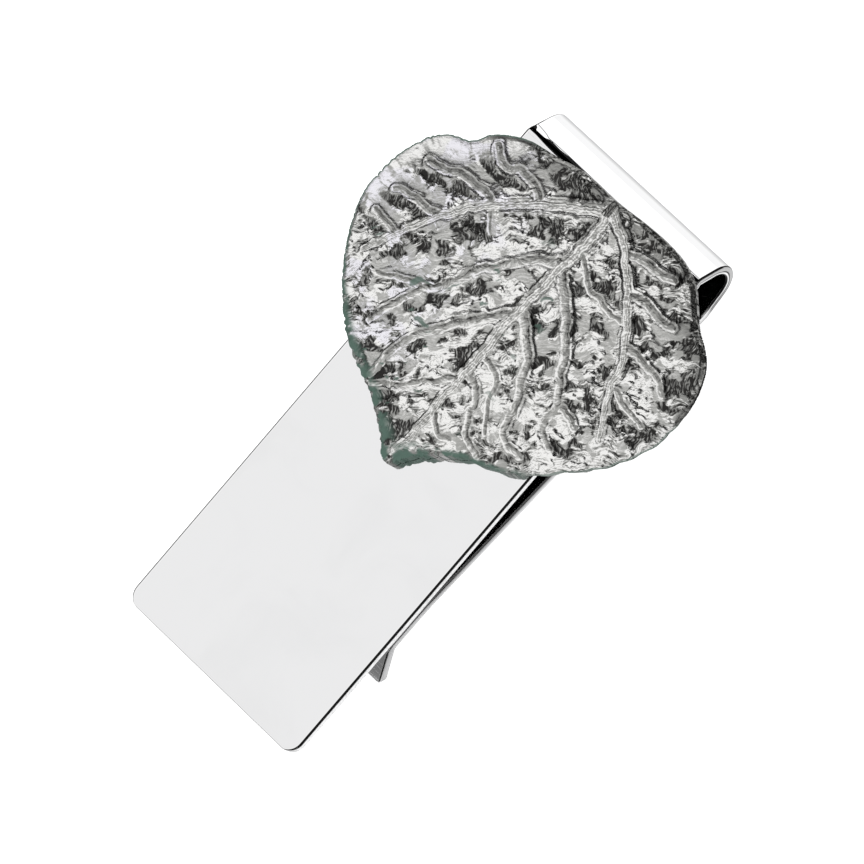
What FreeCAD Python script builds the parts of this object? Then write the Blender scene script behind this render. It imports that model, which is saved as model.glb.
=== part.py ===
"""Money clip: a spring strip folded from one blank, with a cast leaf bonded to its front.

Millimetres. X runs across the clip, +Y towards the rolled end, +Z out of the leaf side.
The origin lies on the surface the clip stands on, under the middle of its outline.
"""
import FreeCAD
import Part

import math
import os
from dataclasses import dataclass

import Sketcher

Vector = FreeCAD.Vector

# Driving sizes, each one a cell of the sheet: name, value, meaning.
SIZES = (
    ("clip_length", 63.5, "free end of the front plate to the nose of the roll"),
    ("clip_width", 24.65, "width of the strip"),
    ("sheet_gauge", 1.0, "thickness of the strip"),
    ("roll_depth", 6.9, "front face to the back of the roll"),
    ("corner_radius", 1.6, "plan corners of the front plate"),
    ("edge_round", 0.2, "tumbled edges of the strip"),
    ("crease_radius", 1.3, "outer radius where the plate turns into the roll"),
    ("crease_turn", 42.0, "degrees turned by the crease"),
    ("nose_radius", 2.85, "outer radius of the nose"),
    ("nose_turn", 123.0, "degrees turned by the nose"),
    ("back_radius", 9.5, "outer radius of the back of the roll"),
    ("contact_radius", 20.0, "rear radius of the bend that lays the land on the plate"),
    ("land_length", 3.4, "stretch of the arm that lies on the plate"),
    ("land_end", 14.65, "free end of the plate to the end of the land"),
    ("land_gap", 0.02, "clearance between the land and the plate"),
    ("lip_radius", 0.5, "rear radius of the thumb lip's bend"),
    ("lip_turn", 44.5, "degrees the thumb lip is bent back by"),
    ("lip_reach", 4.4, "straight length of the thumb lip"),
    ("lip_corner", 0.45, "corners of the thumb lip"),
    ("leaf_width", 41.9, "leaf across the clip"),
    ("leaf_length", 33.9, "base of the leaf to its tip"),
    ("leaf_setback", 2.4, "nose of the roll back to the base of the leaf"),
    ("leaf_crown", 2.4, "thickness of the blade at the top of its dome"),
    ("leaf_dome", 125.0, "radius of the blade's dome"),
    ("rib_relief", 0.35, "height of the ribs above the blade"),
    ("rib_width", 1.5, "width of the middle rib where it starts"),
    ("tooth_height", 0.16, "height of the teeth round the blade"),
    ("bond_radius", 10.0, "radius of the bonded patch"),
    ("bond_gauge", 0.1, "thickness of the bond"),
)

# Sizes that follow from the driving ones, in the order they are worked out.
DERIVED = (
    ("free_end_y", "-clip_length / 2"),
    ("nose_exit", "crease_turn + nose_turn"),
    ("crease_drop", "crease_radius * (1 - cos(crease_turn))"),
    ("nose_drop", "nose_radius * (cos(crease_turn) - cos(nose_exit))"),
    ("back_drop", "back_radius * (1 + cos(nose_exit))"),
    ("ramp_drop", "roll_depth - crease_drop - nose_drop - back_drop"),
    ("ramp_length", "ramp_drop / sin(crease_turn)"),
    ("crease_run", "crease_radius * sin(crease_turn)"),
    ("ramp_run", "ramp_length * cos(crease_turn)"),
    ("nose_run", "nose_radius * (1 - sin(crease_turn))"),
    ("plate_length", "clip_length - crease_run - ramp_run - nose_run"),
    ("plate_back_z", "roll_depth - sheet_gauge"),
    ("crease_y", "free_end_y + plate_length"),
    ("nose_y", "clip_length / 2 - nose_radius"),
    ("back_y", "nose_y - (back_radius - nose_radius) * sin(nose_exit)"),
    # The arm's rear face is the line that touches the roll's back and the bend at the land.
    ("land_z", "plate_back_z - land_gap - sheet_gauge"),
    ("bend_y", "free_end_y + land_end + land_length"),
    ("centres_run", "back_y - bend_y"),
    ("centres_drop", "back_radius + contact_radius - land_z"),
    ("centres_apart", "sqrt(centres_run ^ 2 + centres_drop ^ 2)"),
    ("tangent_tilt", "asin((back_radius + contact_radius) / centres_apart) / 1 deg"),
    ("centres_tilt", "atan(centres_drop / centres_run) / 1 deg"),
    ("arm_slope", "tangent_tilt - centres_tilt"),
    ("arm_length", "centres_apart * cos(tangent_tilt)"),
    ("arm_heading", "180 - arm_slope"),
    ("back_turn", "180 + arm_slope - nose_exit"),
    ("arm_y", "back_y - back_radius * sin(arm_slope)"),
    ("arm_z", "back_radius * (1 - cos(arm_slope))"),
    ("leaf_y", "clip_length / 2 - leaf_setback"),
    ("leaf_z", "roll_depth + bond_gauge"),
    ("bond_y", "leaf_y - leaf_length / 2"),
)

# The leaf's plan, seen from the front: across the clip as a share of half the leaf's width,
# then away from its base as a share of its length.
LEAF_LEFT = (
    (0, 0.003), (-0.29, 0.012), (-0.53, 0.047), (-0.73, 0.153), (-0.94, 0.26), (-1, 0.431),
    (-0.93, 0.578), (-0.65, 0.761), (-0.34, 0.861), (-0.02, 1),
)
LEAF_RIGHT = (
    (0.02, 1), (0.19, 0.891), (0.52, 0.773), (0.81, 0.625), (0.98, 0.419), (0.96, 0.218),
    (0.77, 0.094), (0.51, 0.012), (0.24, 0), (0, 0.003),
)
TEETH_PER_SIDE = 30


@dataclass(frozen=True)
class Rib:
    """One raised rib of the leaf.

    Attributes:
        path: Points on its middle line, in the same shares as the leaf's plan.
        root: Width where it starts, as a share of the rib width.
        tip: Width where it ends, in the same share.
    """

    path: tuple
    root: float
    tip: float


RIBS = (
    Rib(((0.02, 0.006), (0.04, 0.295), (0.04, 0.619), (0.02, 0.932)), 1.0, 0.4),
    Rib(((0.02, 0.053), (-0.22, 0.159), (-0.47, 0.295), (-0.68, 0.466), (-0.81, 0.602)), 0.87, 0.4),
    Rib(((0.04, 0.248), (-0.18, 0.372), (-0.36, 0.537), (-0.5, 0.726)), 0.8, 0.4),
    Rib(((0.04, 0.431), (-0.16, 0.572), (-0.29, 0.708), (-0.32, 0.826)), 0.73, 0.4),
    Rib(((0.04, 0.655), (-0.12, 0.767), (-0.25, 0.838)), 0.6, 0.33),
    Rib(((0.04, 0.035), (0.23, 0.088), (0.51, 0.242), (0.69, 0.413), (0.77, 0.531)), 0.87, 0.4),
    Rib(((0.06, 0.254), (0.26, 0.354), (0.43, 0.472), (0.53, 0.608)), 0.8, 0.4),
    Rib(((0.04, 0.413), (0.23, 0.507), (0.36, 0.649), (0.48, 0.72)), 0.73, 0.4),
    Rib(((0.04, 0.608), (0.19, 0.696), (0.3, 0.785)), 0.6, 0.33),
    Rib(((-0.21, 0.142), (-0.4, 0.121), (-0.59, 0.115)), 0.6, 0.4),
    Rib(((-0.4, 0.242), (-0.6, 0.242), (-0.83, 0.283)), 0.6, 0.4),
    Rib(((-0.6, 0.363), (-0.86, 0.41)), 0.53, 0.33),
    Rib(((-0.44, 0.558), (-0.64, 0.617)), 0.53, 0.33),
    Rib(((0.28, 0.097), (0.37, 0.065), (0.53, 0.059)), 0.6, 0.4),
    Rib(((0.42, 0.174), (0.56, 0.156), (0.68, 0.156)), 0.6, 0.4),
    Rib(((0.6, 0.295), (0.79, 0.298), (0.88, 0.33)), 0.53, 0.33),
    Rib(((0.69, 0.404), (0.89, 0.425)), 0.53, 0.33),
    Rib(((0.11, 0.183), (0.28, 0.23), (0.48, 0.248)), 0.6, 0.4),
    Rib(((0.07, 0.584), (0.2, 0.625), (0.29, 0.711)), 0.53, 0.33),
)


@dataclass(frozen=True)
class Run:
    """A straight piece of the strip, as long as the named size."""

    length: str


@dataclass(frozen=True)
class Turn:
    """A bend of the strip.

    Attributes:
        radius: Size that holds the radius of the left-hand face.
        angle: Size that holds the degrees turned.
        side: -1 where the strip turns right as it runs on, +1 where it turns left.
    """

    radius: str
    angle: str
    side: int


def make_sheet(doc):
    """Fill a sheet with the driving sizes and the sizes that follow from them.

    Args:
        doc: The document that takes the sheet.

    Returns:
        The recomputed sheet.
    """
    sheet = doc.addObject("Spreadsheet::Sheet", "Sizes")
    for row, (name, value, meaning) in enumerate(SIZES, start=1):
        sheet.set(f"A{row}", name)
        sheet.set(f"B{row}", str(value))
        sheet.set(f"C{row}", meaning)
        sheet.setAlias(f"B{row}", name)
    for row, (name, formula) in enumerate(DERIVED, start=len(SIZES) + 2):
        sheet.set(f"A{row}", name)
        sheet.setAlias(f"B{row}", name)
        sheet.set(f"B{row}", f"={formula}")
    doc.recompute()
    return sheet


def base_sketch(body, role: str, name: str):
    """Attach an empty sketch to one of a body's own base planes.

    Args:
        body: The body that takes the sketch.
        role: The plane's role.
        name: The sketch's name.

    Returns:
        The sketch.
    """
    sketch = body.newObject("Sketcher::SketchObject", name)
    plane = next(item for item in body.Origin.OriginFeatures if item.Role == role)
    sketch.AttachmentSupport = [(plane, "")]
    sketch.MapMode = "FlatFace"
    return sketch


class Rules:
    """Constraints of one sketch, gathered first and solved in one go."""

    def __init__(self) -> None:
        """Start with no constraints."""
        self.items = []
        self.sizes = {}

    def tie(self, kind: str, *refs: int) -> None:
        """Add a constraint that has no size."""
        self.items.append(Sketcher.Constraint(kind, *refs))

    def drive(self, kind: str, refs: tuple, value: float, size: str) -> None:
        """Add a constraint that follows a size of the sheet.

        Args:
            kind: The constraint's type.
            refs: Its geometry references.
            value: The value the sketch is drawn with.
            size: The size that the constraint follows.
        """
        self.sizes[len(self.items)] = size
        self.items.append(Sketcher.Constraint(kind, *refs, value))

    def apply(self, sketch) -> None:
        """Give the constraints to a sketch and bind the sized ones to the sheet."""
        sketch.addConstraint(self.items)
        for index, size in self.sizes.items():
            sketch.setExpression(f"Constraints[{index}]", f"Sizes.{size}")


def trace_faces(sheet, left, ahead, chain: tuple) -> tuple:
    """Lay out both faces of the strip along a chain of runs and turns.

    Args:
        sheet: The sheet with the sizes.
        left: Start point of the left-hand face.
        ahead: Unit vector of the first direction.
        chain: The runs and turns, in order.

    Returns:
        The left-hand face's curves and the right-hand face's curves.
    """
    faces = ([], [])
    for piece in chain:
        across = Vector(ahead.y, -ahead.x, 0)
        right = left + across * sheet.sheet_gauge
        if isinstance(piece, Run):
            step = ahead * sheet.get(piece.length)
            faces[0].append(Part.LineSegment(left, left + step))
            faces[1].append(Part.LineSegment(right, right + step))
            left = left + step
            continue
        centre = left - across * sheet.get(piece.radius) * piece.side
        turn = sheet.get(piece.angle) * piece.side
        half = FreeCAD.Rotation(Vector(0, 0, 1), turn / 2)
        full = FreeCAD.Rotation(Vector(0, 0, 1), turn)
        for face, point in zip(faces, (left, right)):
            spoke = point - centre
            face.append(
                Part.Arc(point, centre + half.multVec(spoke), centre + full.multVec(spoke))
            )
        left = centre + full.multVec(left - centre)
        ahead = full.multVec(ahead)
    return faces


def strip_sketch(body, sheet, name: str, start: tuple, heading: str, chain: tuple):
    """Draw a closed side view of a stretch of the strip.

    Args:
        body: The body that takes the sketch.
        sheet: The sheet with the sizes.
        name: The sketch's name.
        start: Sizes of the start point's two coordinates, on the left-hand face.
        heading: Size of the first direction in degrees, or an empty name for level.
        chain: The runs and turns, in order.

    Returns:
        The fully constrained sketch.
    """
    sketch = base_sketch(body, "YZ_Plane", name)
    degrees = sheet.get(heading) if heading else 0.0
    ahead = Vector(math.cos(math.radians(degrees)), math.sin(math.radians(degrees)), 0)
    origin = Vector(sheet.get(start[0]), sheet.get(start[1]), 0)
    left, right = trace_faces(sheet, origin, ahead, chain)

    count = len(chain)
    first_cap, last_cap = 2 * count, 2 * count + 1
    # An arc drawn clockwise is stored the other way round, so its ends swap.
    first = [2 if isinstance(p, Turn) and p.side < 0 else 1 for p in chain]
    last = [3 - end for end in first]
    far_left = sheet_point(left[-1], last[-1])
    far_right = sheet_point(right[-1], last[-1])
    near_left = sheet_point(left[0], first[0])
    near_right = sheet_point(right[0], first[0])
    caps = [Part.LineSegment(near_right, near_left), Part.LineSegment(far_left, far_right)]
    sketch.addGeometry(left + right + caps, False)

    rules = Rules()
    rules.tie("Coincident", first_cap, 2, 0, first[0])
    rules.tie("Coincident", first_cap, 1, count, first[0])
    rules.tie("Coincident", last_cap, 1, count - 1, last[-1])
    rules.tie("Coincident", last_cap, 2, 2 * count - 1, last[-1])
    for index, piece in enumerate(chain):
        twin = index + count
        if isinstance(piece, Run):
            rules.tie("Parallel", index, twin)
        else:
            rules.tie("Coincident", index, 3, twin, 3)
        if index + 1 < count:
            rules.tie("Tangent", index, last[index], index + 1, first[index + 1])
            rules.tie("Tangent", twin, last[index], twin + 1, first[index + 1])
    for cap, piece, index in ((first_cap, chain[0], 0), (last_cap, chain[-1], count - 1)):
        if isinstance(piece, Run):
            rules.tie("Perpendicular", cap, index)
        else:
            rules.tie("PointOnObject", index, 3, cap)

    rules.drive("DistanceX", (-1, 1, 0, first[0]), near_left.x, start[0])
    rules.drive("DistanceY", (-1, 1, 0, first[0]), near_left.y, start[1])
    rules.drive("Distance", (first_cap,), sheet.sheet_gauge, "sheet_gauge")
    if heading:
        rules.drive("Angle", (0,), math.radians(degrees), heading)
    else:
        rules.tie("Vertical", first_cap)
    for index, piece in enumerate(chain):
        if isinstance(piece, Run):
            rules.drive("Distance", (index,), sheet.get(piece.length), piece.length)
        else:
            rules.drive("Radius", (index,), sheet.get(piece.radius), piece.radius)
            turn = math.radians(sheet.get(piece.angle))
            rules.drive("Angle", (index,), turn, piece.angle)
    rules.apply(sketch)
    return sketch


def sheet_point(curve, end: int):
    """Give one end of a curve, 1 for its first point and 2 for its last."""
    if isinstance(curve, Part.Arc):
        curve = Part.ArcOfCircle(curve.toShape().Curve, *curve.toShape().ParameterRange)
    return curve.StartPoint if end == 1 else curve.EndPoint


def pad_strip(body, sketch, name: str):
    """Pad a side view by half the strip's width to each side."""
    pad = body.newObject("PartDesign::Pad", name)
    pad.Profile = sketch
    pad.SideType = "Symmetric"
    pad.setExpression("Length", "Sizes.clip_width")
    sketch.Visibility = False
    return pad


def round_edges(body, base, name: str, picks: list, size: str):
    """Round the picked edges of a body's feature by one size of the sheet."""
    fillet = body.newObject("PartDesign::Fillet", name)
    fillet.Base = (base, picks)
    fillet.setExpression("Radius", f"Sizes.{size}")
    return fillet


def pick_edges(shape, keep) -> list:
    """Name the edges of a shape that a test keeps."""
    return [f"Edge{i}" for i, edge in enumerate(shape.Edges, start=1) if keep(edge)]


def make_front_plate(doc, sheet):
    """Build the flat front plate up to the line where the crease starts."""
    body = doc.addObject("PartDesign::Body", "front_plate")
    sketch = base_sketch(body, "XY_Plane", "plate_outline")
    sketch.setExpression(".AttachmentOffset.Base.z", "Sizes.plate_back_z")
    half = sheet.clip_width / 2
    low, high = sheet.free_end_y, sheet.crease_y
    corners = [Vector(-half, low), Vector(half, low), Vector(half, high), Vector(-half, high)]
    for index, corner in enumerate(corners):
        sketch.addGeometry(Part.LineSegment(corner, corners[(index + 1) % 4]), False)
    rules = Rules()
    for index in range(4):
        rules.tie("Coincident", index, 2, (index + 1) % 4, 1)
    for index, kind in ((1, "Vertical"), (2, "Horizontal"), (3, "Vertical")):
        rules.tie(kind, index)
    rules.tie("Symmetric", 0, 1, 0, 2, -2)
    rules.drive("Distance", (0,), 2 * half, "clip_width")
    rules.drive("Distance", (1,), high - low, "plate_length")
    rules.drive("DistanceY", (-1, 1, 0, 1), low, "free_end_y")
    rules.apply(sketch)

    pad = body.newObject("PartDesign::Pad", "plate_pad")
    pad.Profile = sketch
    pad.setExpression("Length", "Sizes.sheet_gauge")
    doc.recompute()

    def at_free_corner(edge) -> bool:
        box = edge.BoundBox
        return box.ZLength > 0.5 * sheet.sheet_gauge and box.YMax < 0

    corner = round_edges(
        body, pad, "plate_corners", pick_edges(pad.Shape, at_free_corner), "corner_radius"
    )
    doc.recompute()

    def off_the_crease(edge) -> bool:
        return edge.BoundBox.YMin < high - 1e-4 and edge.BoundBox.ZLength < 1e-4

    picks = pick_edges(corner.Shape, off_the_crease)
    body.Tip = round_edges(body, corner, "plate_edges", picks, "edge_round")
    return body


def make_spring_roll(doc, sheet):
    """Build the rolled end that joins the front plate to the spring arm."""
    body = doc.addObject("PartDesign::Body", "spring_roll")
    chain = (
        Turn("crease_radius", "crease_turn", -1),
        Run("ramp_length"),
        Turn("nose_radius", "nose_turn", -1),
        Turn("back_radius", "back_turn", -1),
    )
    start = ("crease_y", "roll_depth")
    sketch = strip_sketch(body, sheet, "roll_side", start, "", chain)
    pad = pad_strip(body, sketch, "roll_pad")
    doc.recompute()
    cap = 1.01 * sheet.sheet_gauge

    def along_the_side(edge) -> bool:
        box = edge.BoundBox
        curve = edge.Curve
        straight_cap = isinstance(curve, Part.Line) and abs(edge.Length - cap / 1.01) < 1e-3
        return box.XLength < 1e-4 and not straight_cap

    picks = pick_edges(pad.Shape, along_the_side)
    body.Tip = round_edges(body, pad, "roll_edges", picks, "edge_round")
    return body


def make_spring_arm(doc, sheet):
    """Build the arm behind the plate, with its land and its thumb lip."""
    body = doc.addObject("PartDesign::Body", "spring_arm")
    chain = (
        Run("arm_length"),
        Turn("contact_radius", "arm_slope", 1),
        Run("land_length"),
        Turn("lip_radius", "lip_turn", 1),
        Run("lip_reach"),
    )
    start = ("arm_y", "arm_z")
    sketch = strip_sketch(body, sheet, "arm_side", start, "arm_heading", chain)
    pad = pad_strip(body, sketch, "arm_pad")
    doc.recompute()
    tip_face = min(pad.Shape.Faces, key=lambda face: face.CenterOfMass.y)

    def at_lip_corner(edge) -> bool:
        return edge.BoundBox.XLength < 1e-4 and edge.distToShape(tip_face)[0] < 1e-6 and (
            abs(edge.Length - sheet.sheet_gauge) < 1e-3
        )

    corner = round_edges(
        body, pad, "lip_corners", pick_edges(pad.Shape, at_lip_corner), "lip_corner"
    )
    doc.recompute()
    root = Vector(0, sheet.arm_y, sheet.arm_z)

    def off_the_roll(edge) -> bool:
        box = edge.BoundBox
        middle = edge.valueAt((edge.FirstParameter + edge.LastParameter) / 2)
        at_root = abs(middle.y - root.y) < 2 * sheet.sheet_gauge and box.YLength < 0.5
        across = box.XLength > 0.9 * (sheet.clip_width - 2 * sheet.lip_corner)
        near_tip = middle.y < sheet.free_end_y + sheet.land_end - 0.6 * sheet.lip_reach
        short = abs(edge.Length - sheet.sheet_gauge) < 1e-3
        return not at_root and not short and (near_tip or not across)

    picks = pick_edges(corner.Shape, off_the_roll)
    body.Tip = round_edges(body, corner, "arm_edges", picks, "edge_round")
    return body


class Leaf:
    """The leaf casting: a toothed, domed blade with raised ribs."""

    def __init__(self, sheet) -> None:
        """Read the leaf's sizes from the sheet."""
        self.stretch = (sheet.leaf_width / 2, sheet.leaf_length)
        self.crown = sheet.leaf_crown
        self.relief = sheet.rib_relief
        self.rib_width = sheet.rib_width
        self.radius = sheet.leaf_dome
        self.tooth = sheet.tooth_height
        self.middle = Vector(0, -sheet.leaf_length / 2, 0)

    def curve(self, points: tuple):
        """Run a smooth curve through plan points, with the base of the leaf on Y = 0."""
        wide, long = self.stretch
        curve = Part.BSplineCurve()
        curve.interpolate([Vector(x * wide, -y * long, 0) for x, y in points])
        return curve

    def toothed_side(self, points: tuple) -> list:
        """Scallop one side of the outline with small round teeth."""
        marks = self.curve(points).discretize(Number=TEETH_PER_SIDE + 1)
        edges = []
        for near, far in zip(marks, marks[1:]):
            step = far - near
            out = Vector(step.y, -step.x, 0).normalize()
            if out.dot(near - self.middle) < 0:
                out = -out
            edges.append(Part.Arc(near, (near + far) / 2 + out * self.tooth, far).toShape())
        return edges

    def rib_plan(self, rib: Rib):
        """Make the tapered plan of one rib."""
        middle = self.curve(rib.path)
        first, last = middle.FirstParameter, middle.LastParameter
        stations = 2 * (len(rib.path) - 1)
        sides = ([], [])
        for station in range(stations + 1):
            share = station / stations
            at = first + (last - first) * share
            along = middle.tangent(at)[0]
            across = Vector(-along.y, along.x, 0).normalize()
            half = self.rib_width * (rib.root + (rib.tip - rib.root) * share) / 2
            sides[0].append(middle.value(at) + across * half)
            sides[1].append(middle.value(at) - across * half)
        edges = [Part.makeLine(sides[0][end], sides[1][end]) for end in (0, -1)]
        for side in sides:
            curve = Part.BSplineCurve()
            curve.interpolate(side)
            edges.append(curve.toShape())
        return Part.Face(Part.Wire(Part.__sortEdges__(edges)))

    def under_dome(self, plan, crown: float):
        """Raise a plan face up to a dome with its top at the given height."""
        heart = self.middle + Vector(0, 0, crown - self.radius)
        ball = Part.makeSphere(self.radius, heart, Vector(0, -1, 0))
        return plan.extrude(Vector(0, 0, 2 * crown)).common(ball)

    def shape(self):
        """Join the blade and its ribs into one casting."""
        bridge = Part.makeLine(
            self.curve(LEAF_LEFT).EndPoint, self.curve(LEAF_RIGHT).StartPoint
        )
        outline = self.toothed_side(LEAF_LEFT) + [bridge] + self.toothed_side(LEAF_RIGHT)
        blade = self.under_dome(Part.Face(Part.Wire(Part.__sortEdges__(outline))), self.crown)
        ribs = [self.under_dome(self.rib_plan(rib), self.crown + self.relief) for rib in RIBS]
        return blade.multiFuse(ribs).removeSplitter()


def make_leaf(doc, sheet):
    """Build the leaf and stand it on the bond."""
    leaf = doc.addObject("Part::Feature", "leaf")
    leaf.Shape = Leaf(sheet).shape()
    leaf.setExpression(".Placement.Base.y", "Sizes.leaf_y")
    leaf.setExpression(".Placement.Base.z", "Sizes.leaf_z")
    return leaf


def make_bond(doc):
    """Build the thin round patch that holds the leaf to the plate."""
    bond = doc.addObject("Part::Cylinder", "bond_film")
    bond.setExpression("Radius", "Sizes.bond_radius")
    bond.setExpression("Height", "Sizes.bond_gauge")
    bond.setExpression(".Placement.Base.y", "Sizes.bond_y")
    bond.setExpression(".Placement.Base.z", "Sizes.roll_depth")
    return bond


def check(doc) -> None:
    """Stop if any object of the document is faulty."""
    for item in doc.Objects:
        if "Invalid" in item.State or "Error" in item.State:
            raise RuntimeError(f"{item.Name}: {item.State}")
        if item.isDerivedFrom("Sketcher::SketchObject") and not item.FullyConstrained:
            raise RuntimeError(f"{item.Name} is not fully constrained")


def main() -> None:
    """Build the clip and write its parts."""
    doc = FreeCAD.newDocument("money_clip")
    sheet = make_sheet(doc)
    parts = [
        make_front_plate(doc, sheet),
        make_spring_roll(doc, sheet),
        make_spring_arm(doc, sheet),
        make_leaf(doc, sheet),
        make_bond(doc),
    ]
    doc.recompute()
    check(doc)
    os.makedirs("parts", exist_ok=True)
    for part in parts:
        if part.Shape.isNull() or not part.Shape.isValid():
            raise RuntimeError(f"{part.Label} has no valid shape")
        part.Shape.exportStep(f"parts/{part.Label}.step")
        box = part.Shape.BoundBox
        print(part.Label, len(part.Shape.Solids), round(part.Shape.Volume, 2), box)


main()
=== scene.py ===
"""Dress the money clip: a mirror-polished spring strip with a cast leaf bonded to its front.

Metres. X runs across the clip, +Y towards the rolled end, +Z out of the leaf side.
"""

import logging
import math
from collections.abc import Callable
from dataclasses import dataclass, field
from enum import Enum

import bmesh
import bpy
from mathutils import Matrix, Vector

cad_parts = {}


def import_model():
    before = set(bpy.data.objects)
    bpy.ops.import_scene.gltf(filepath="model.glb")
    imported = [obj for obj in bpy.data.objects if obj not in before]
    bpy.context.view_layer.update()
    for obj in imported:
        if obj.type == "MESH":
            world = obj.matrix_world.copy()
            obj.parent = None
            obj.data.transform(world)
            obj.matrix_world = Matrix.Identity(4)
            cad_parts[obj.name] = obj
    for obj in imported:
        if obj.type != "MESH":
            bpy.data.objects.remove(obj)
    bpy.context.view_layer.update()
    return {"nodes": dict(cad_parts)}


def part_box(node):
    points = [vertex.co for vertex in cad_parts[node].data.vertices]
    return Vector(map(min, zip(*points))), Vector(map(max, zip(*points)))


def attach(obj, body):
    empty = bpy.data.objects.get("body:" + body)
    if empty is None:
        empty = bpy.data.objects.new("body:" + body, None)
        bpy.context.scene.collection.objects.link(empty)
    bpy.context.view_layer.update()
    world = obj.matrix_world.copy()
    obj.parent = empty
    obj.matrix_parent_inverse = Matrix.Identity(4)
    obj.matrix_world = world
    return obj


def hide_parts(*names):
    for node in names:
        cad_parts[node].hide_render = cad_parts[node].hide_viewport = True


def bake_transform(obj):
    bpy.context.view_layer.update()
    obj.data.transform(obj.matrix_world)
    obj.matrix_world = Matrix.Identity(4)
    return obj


LOG = logging.getLogger("money_clip")
MM = 0.001


class Body(Enum):
    """The moving bodies of the clip."""

    FRONT = "front"
    ARM = "arm"


class Slot(Enum):
    """The record's material slots, by name."""

    STRIP = "polished_strip"
    LEAF = "cast_leaf"


# ---------------------------------------------------------------------------
# Helpers for node trees and meshes


def sign(operation: str, turned: bool = False) -> Callable:
    """Make the method behind a sign such as + or *.

    Args:
        operation: The Math node's operation.
        turned: Whether the term stands to the right of the sign.

    Returns:
        The method.
    """

    def method(self: "Term", other: "Term | float") -> "Term":
        """Add a Math node over both sides."""
        sides = (other, self) if turned else (self, other)
        return self.net.math(operation, *sides)

    return method


class Term:
    """One output in a node tree. Sums, products and comparisons of terms become nodes."""

    __add__ = sign("ADD")
    __radd__ = sign("ADD", True)
    __sub__ = sign("SUBTRACT")
    __rsub__ = sign("SUBTRACT", True)
    __mul__ = sign("MULTIPLY")
    __truediv__ = sign("DIVIDE")
    __lt__ = sign("LESS_THAN")
    __gt__ = sign("GREATER_THAN")
    most = sign("MAXIMUM")
    least = sign("MINIMUM")

    def __init__(self, net: "Net", socket: bpy.types.NodeSocket) -> None:
        """Hold an output of a net."""
        self.net = net
        self.socket = socket

    def __abs__(self) -> "Term":
        """Give the size of the number, without its sign."""
        return self.net.math("ABSOLUTE", self)

    @property
    def is_vector(self) -> bool:
        """Tell whether the term is a vector."""
        return self.socket.type == "VECTOR"

    def remap(self, low: "Term | float", high: "Term | float", to_low: "Term | float" = 0.0,
              to_high: "Term | float" = 1.0, smooth: bool = True) -> "Term":
        """Map the number from one range to another, clamped.

        Args:
            low: Where the range starts; it may be above its end.
            high: Where the range ends.
            to_low: Result at the start and before it.
            to_high: Result at the end and past it.
            smooth: Whether both ends are eased.

        Returns:
            The mapped number.
        """
        kind = "SMOOTHSTEP" if smooth else "LINEAR"
        feeds = {"Value": self, "From Min": low, "From Max": high,
                 "To Min": to_low, "To Max": to_high}
        return self.net.read("ShaderNodeMapRange", feeds, interpolation_type=kind)

    def mix(self, first: "Term | float", second: "Term | float") -> "Term":
        """Use the number to mix two numbers."""
        return self.net.read("ShaderNodeMix", {0: self, 2: first, 3: second}, data_type="FLOAT")

    def mix_color(self, first: "Term | tuple", second: "Term | tuple") -> "Term":
        """Use the number to mix two colours."""
        return self.net.read("ShaderNodeMix", {0: self, 6: first, 7: second}, 2, data_type="RGBA")

    def centred(self, size: float) -> "Term":
        """Give a noise about zero, times a size."""
        return (self - 0.5) * size

    def profile(self, corners: tuple, reach: float) -> "Term":
        """Read a drawn profile at the number.

        Args:
            corners: The profile's corners, with 1 along it for the reach.
            reach: The number at the profile's far end.

        Returns:
            The profile's height.
        """
        curve = self.net.node("ShaderNodeFloatCurve", {"Value": self / reach})
        line = curve.mapping.curves[0]
        line.points[0].location = corners[0]
        line.points[1].location = corners[-1]
        for corner in corners[1:-1]:
            line.points.new(*corner)
        curve.mapping.update()
        return Term(self.net, curve.outputs[0])

    def split(self) -> tuple:
        """Give the three numbers of a vector."""
        return tuple(self.net.outputs("ShaderNodeSeparateXYZ", {0: self}).values())

    def plus(self, other: "Term | tuple") -> "Term":
        """Add a vector."""
        return self.net.vector("ADD", self, other)

    def minus(self, other: "Term | tuple") -> "Term":
        """Take a vector away."""
        return self.net.vector("SUBTRACT", self, other)

    def times(self, other: "Term | tuple") -> "Term":
        """Multiply by a vector, each way on its own."""
        return self.net.vector("MULTIPLY", self, other)

    def scale(self, factor: "Term | float") -> "Term":
        """Multiply a vector by a number."""
        feeds = {0: self, "Scale": factor}
        return self.net.read("ShaderNodeVectorMath", feeds, operation="SCALE")

    def noise(self, scale: "Term | float", detail: float = 2.0, roughness: float = 0.5,
              distortion: float = 0.0) -> "Term":
        """Give a noise over a place, near 0.5 on average.

        Args:
            scale: Patches in each unit of length.
            detail: Octaves of finer noise.
            roughness: Strength of each finer octave.
            distortion: How far the noise is bent.

        Returns:
            The noise.
        """
        feeds = {"Vector": self, "Scale": scale, "Detail": detail, "Roughness": roughness,
                 "Distortion": distortion}
        return self.net.read("ShaderNodeTexNoise", feeds)

    def wander(self, scale: float, detail: float, reach: tuple) -> "Term":
        """Give a noise vector about zero over a place.

        Args:
            scale: How fine the noise is.
            detail: How many finer layers it has.
            reach: How far it goes each way, along each axis.

        Returns:
            The vector.
        """
        feeds = {"Vector": self, "Scale": scale, "Detail": detail}
        shaken = self.net.read("ShaderNodeTexNoise", feeds, "Color")
        return shaken.minus((0.5, 0.5, 0.5)).times(reach)


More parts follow.
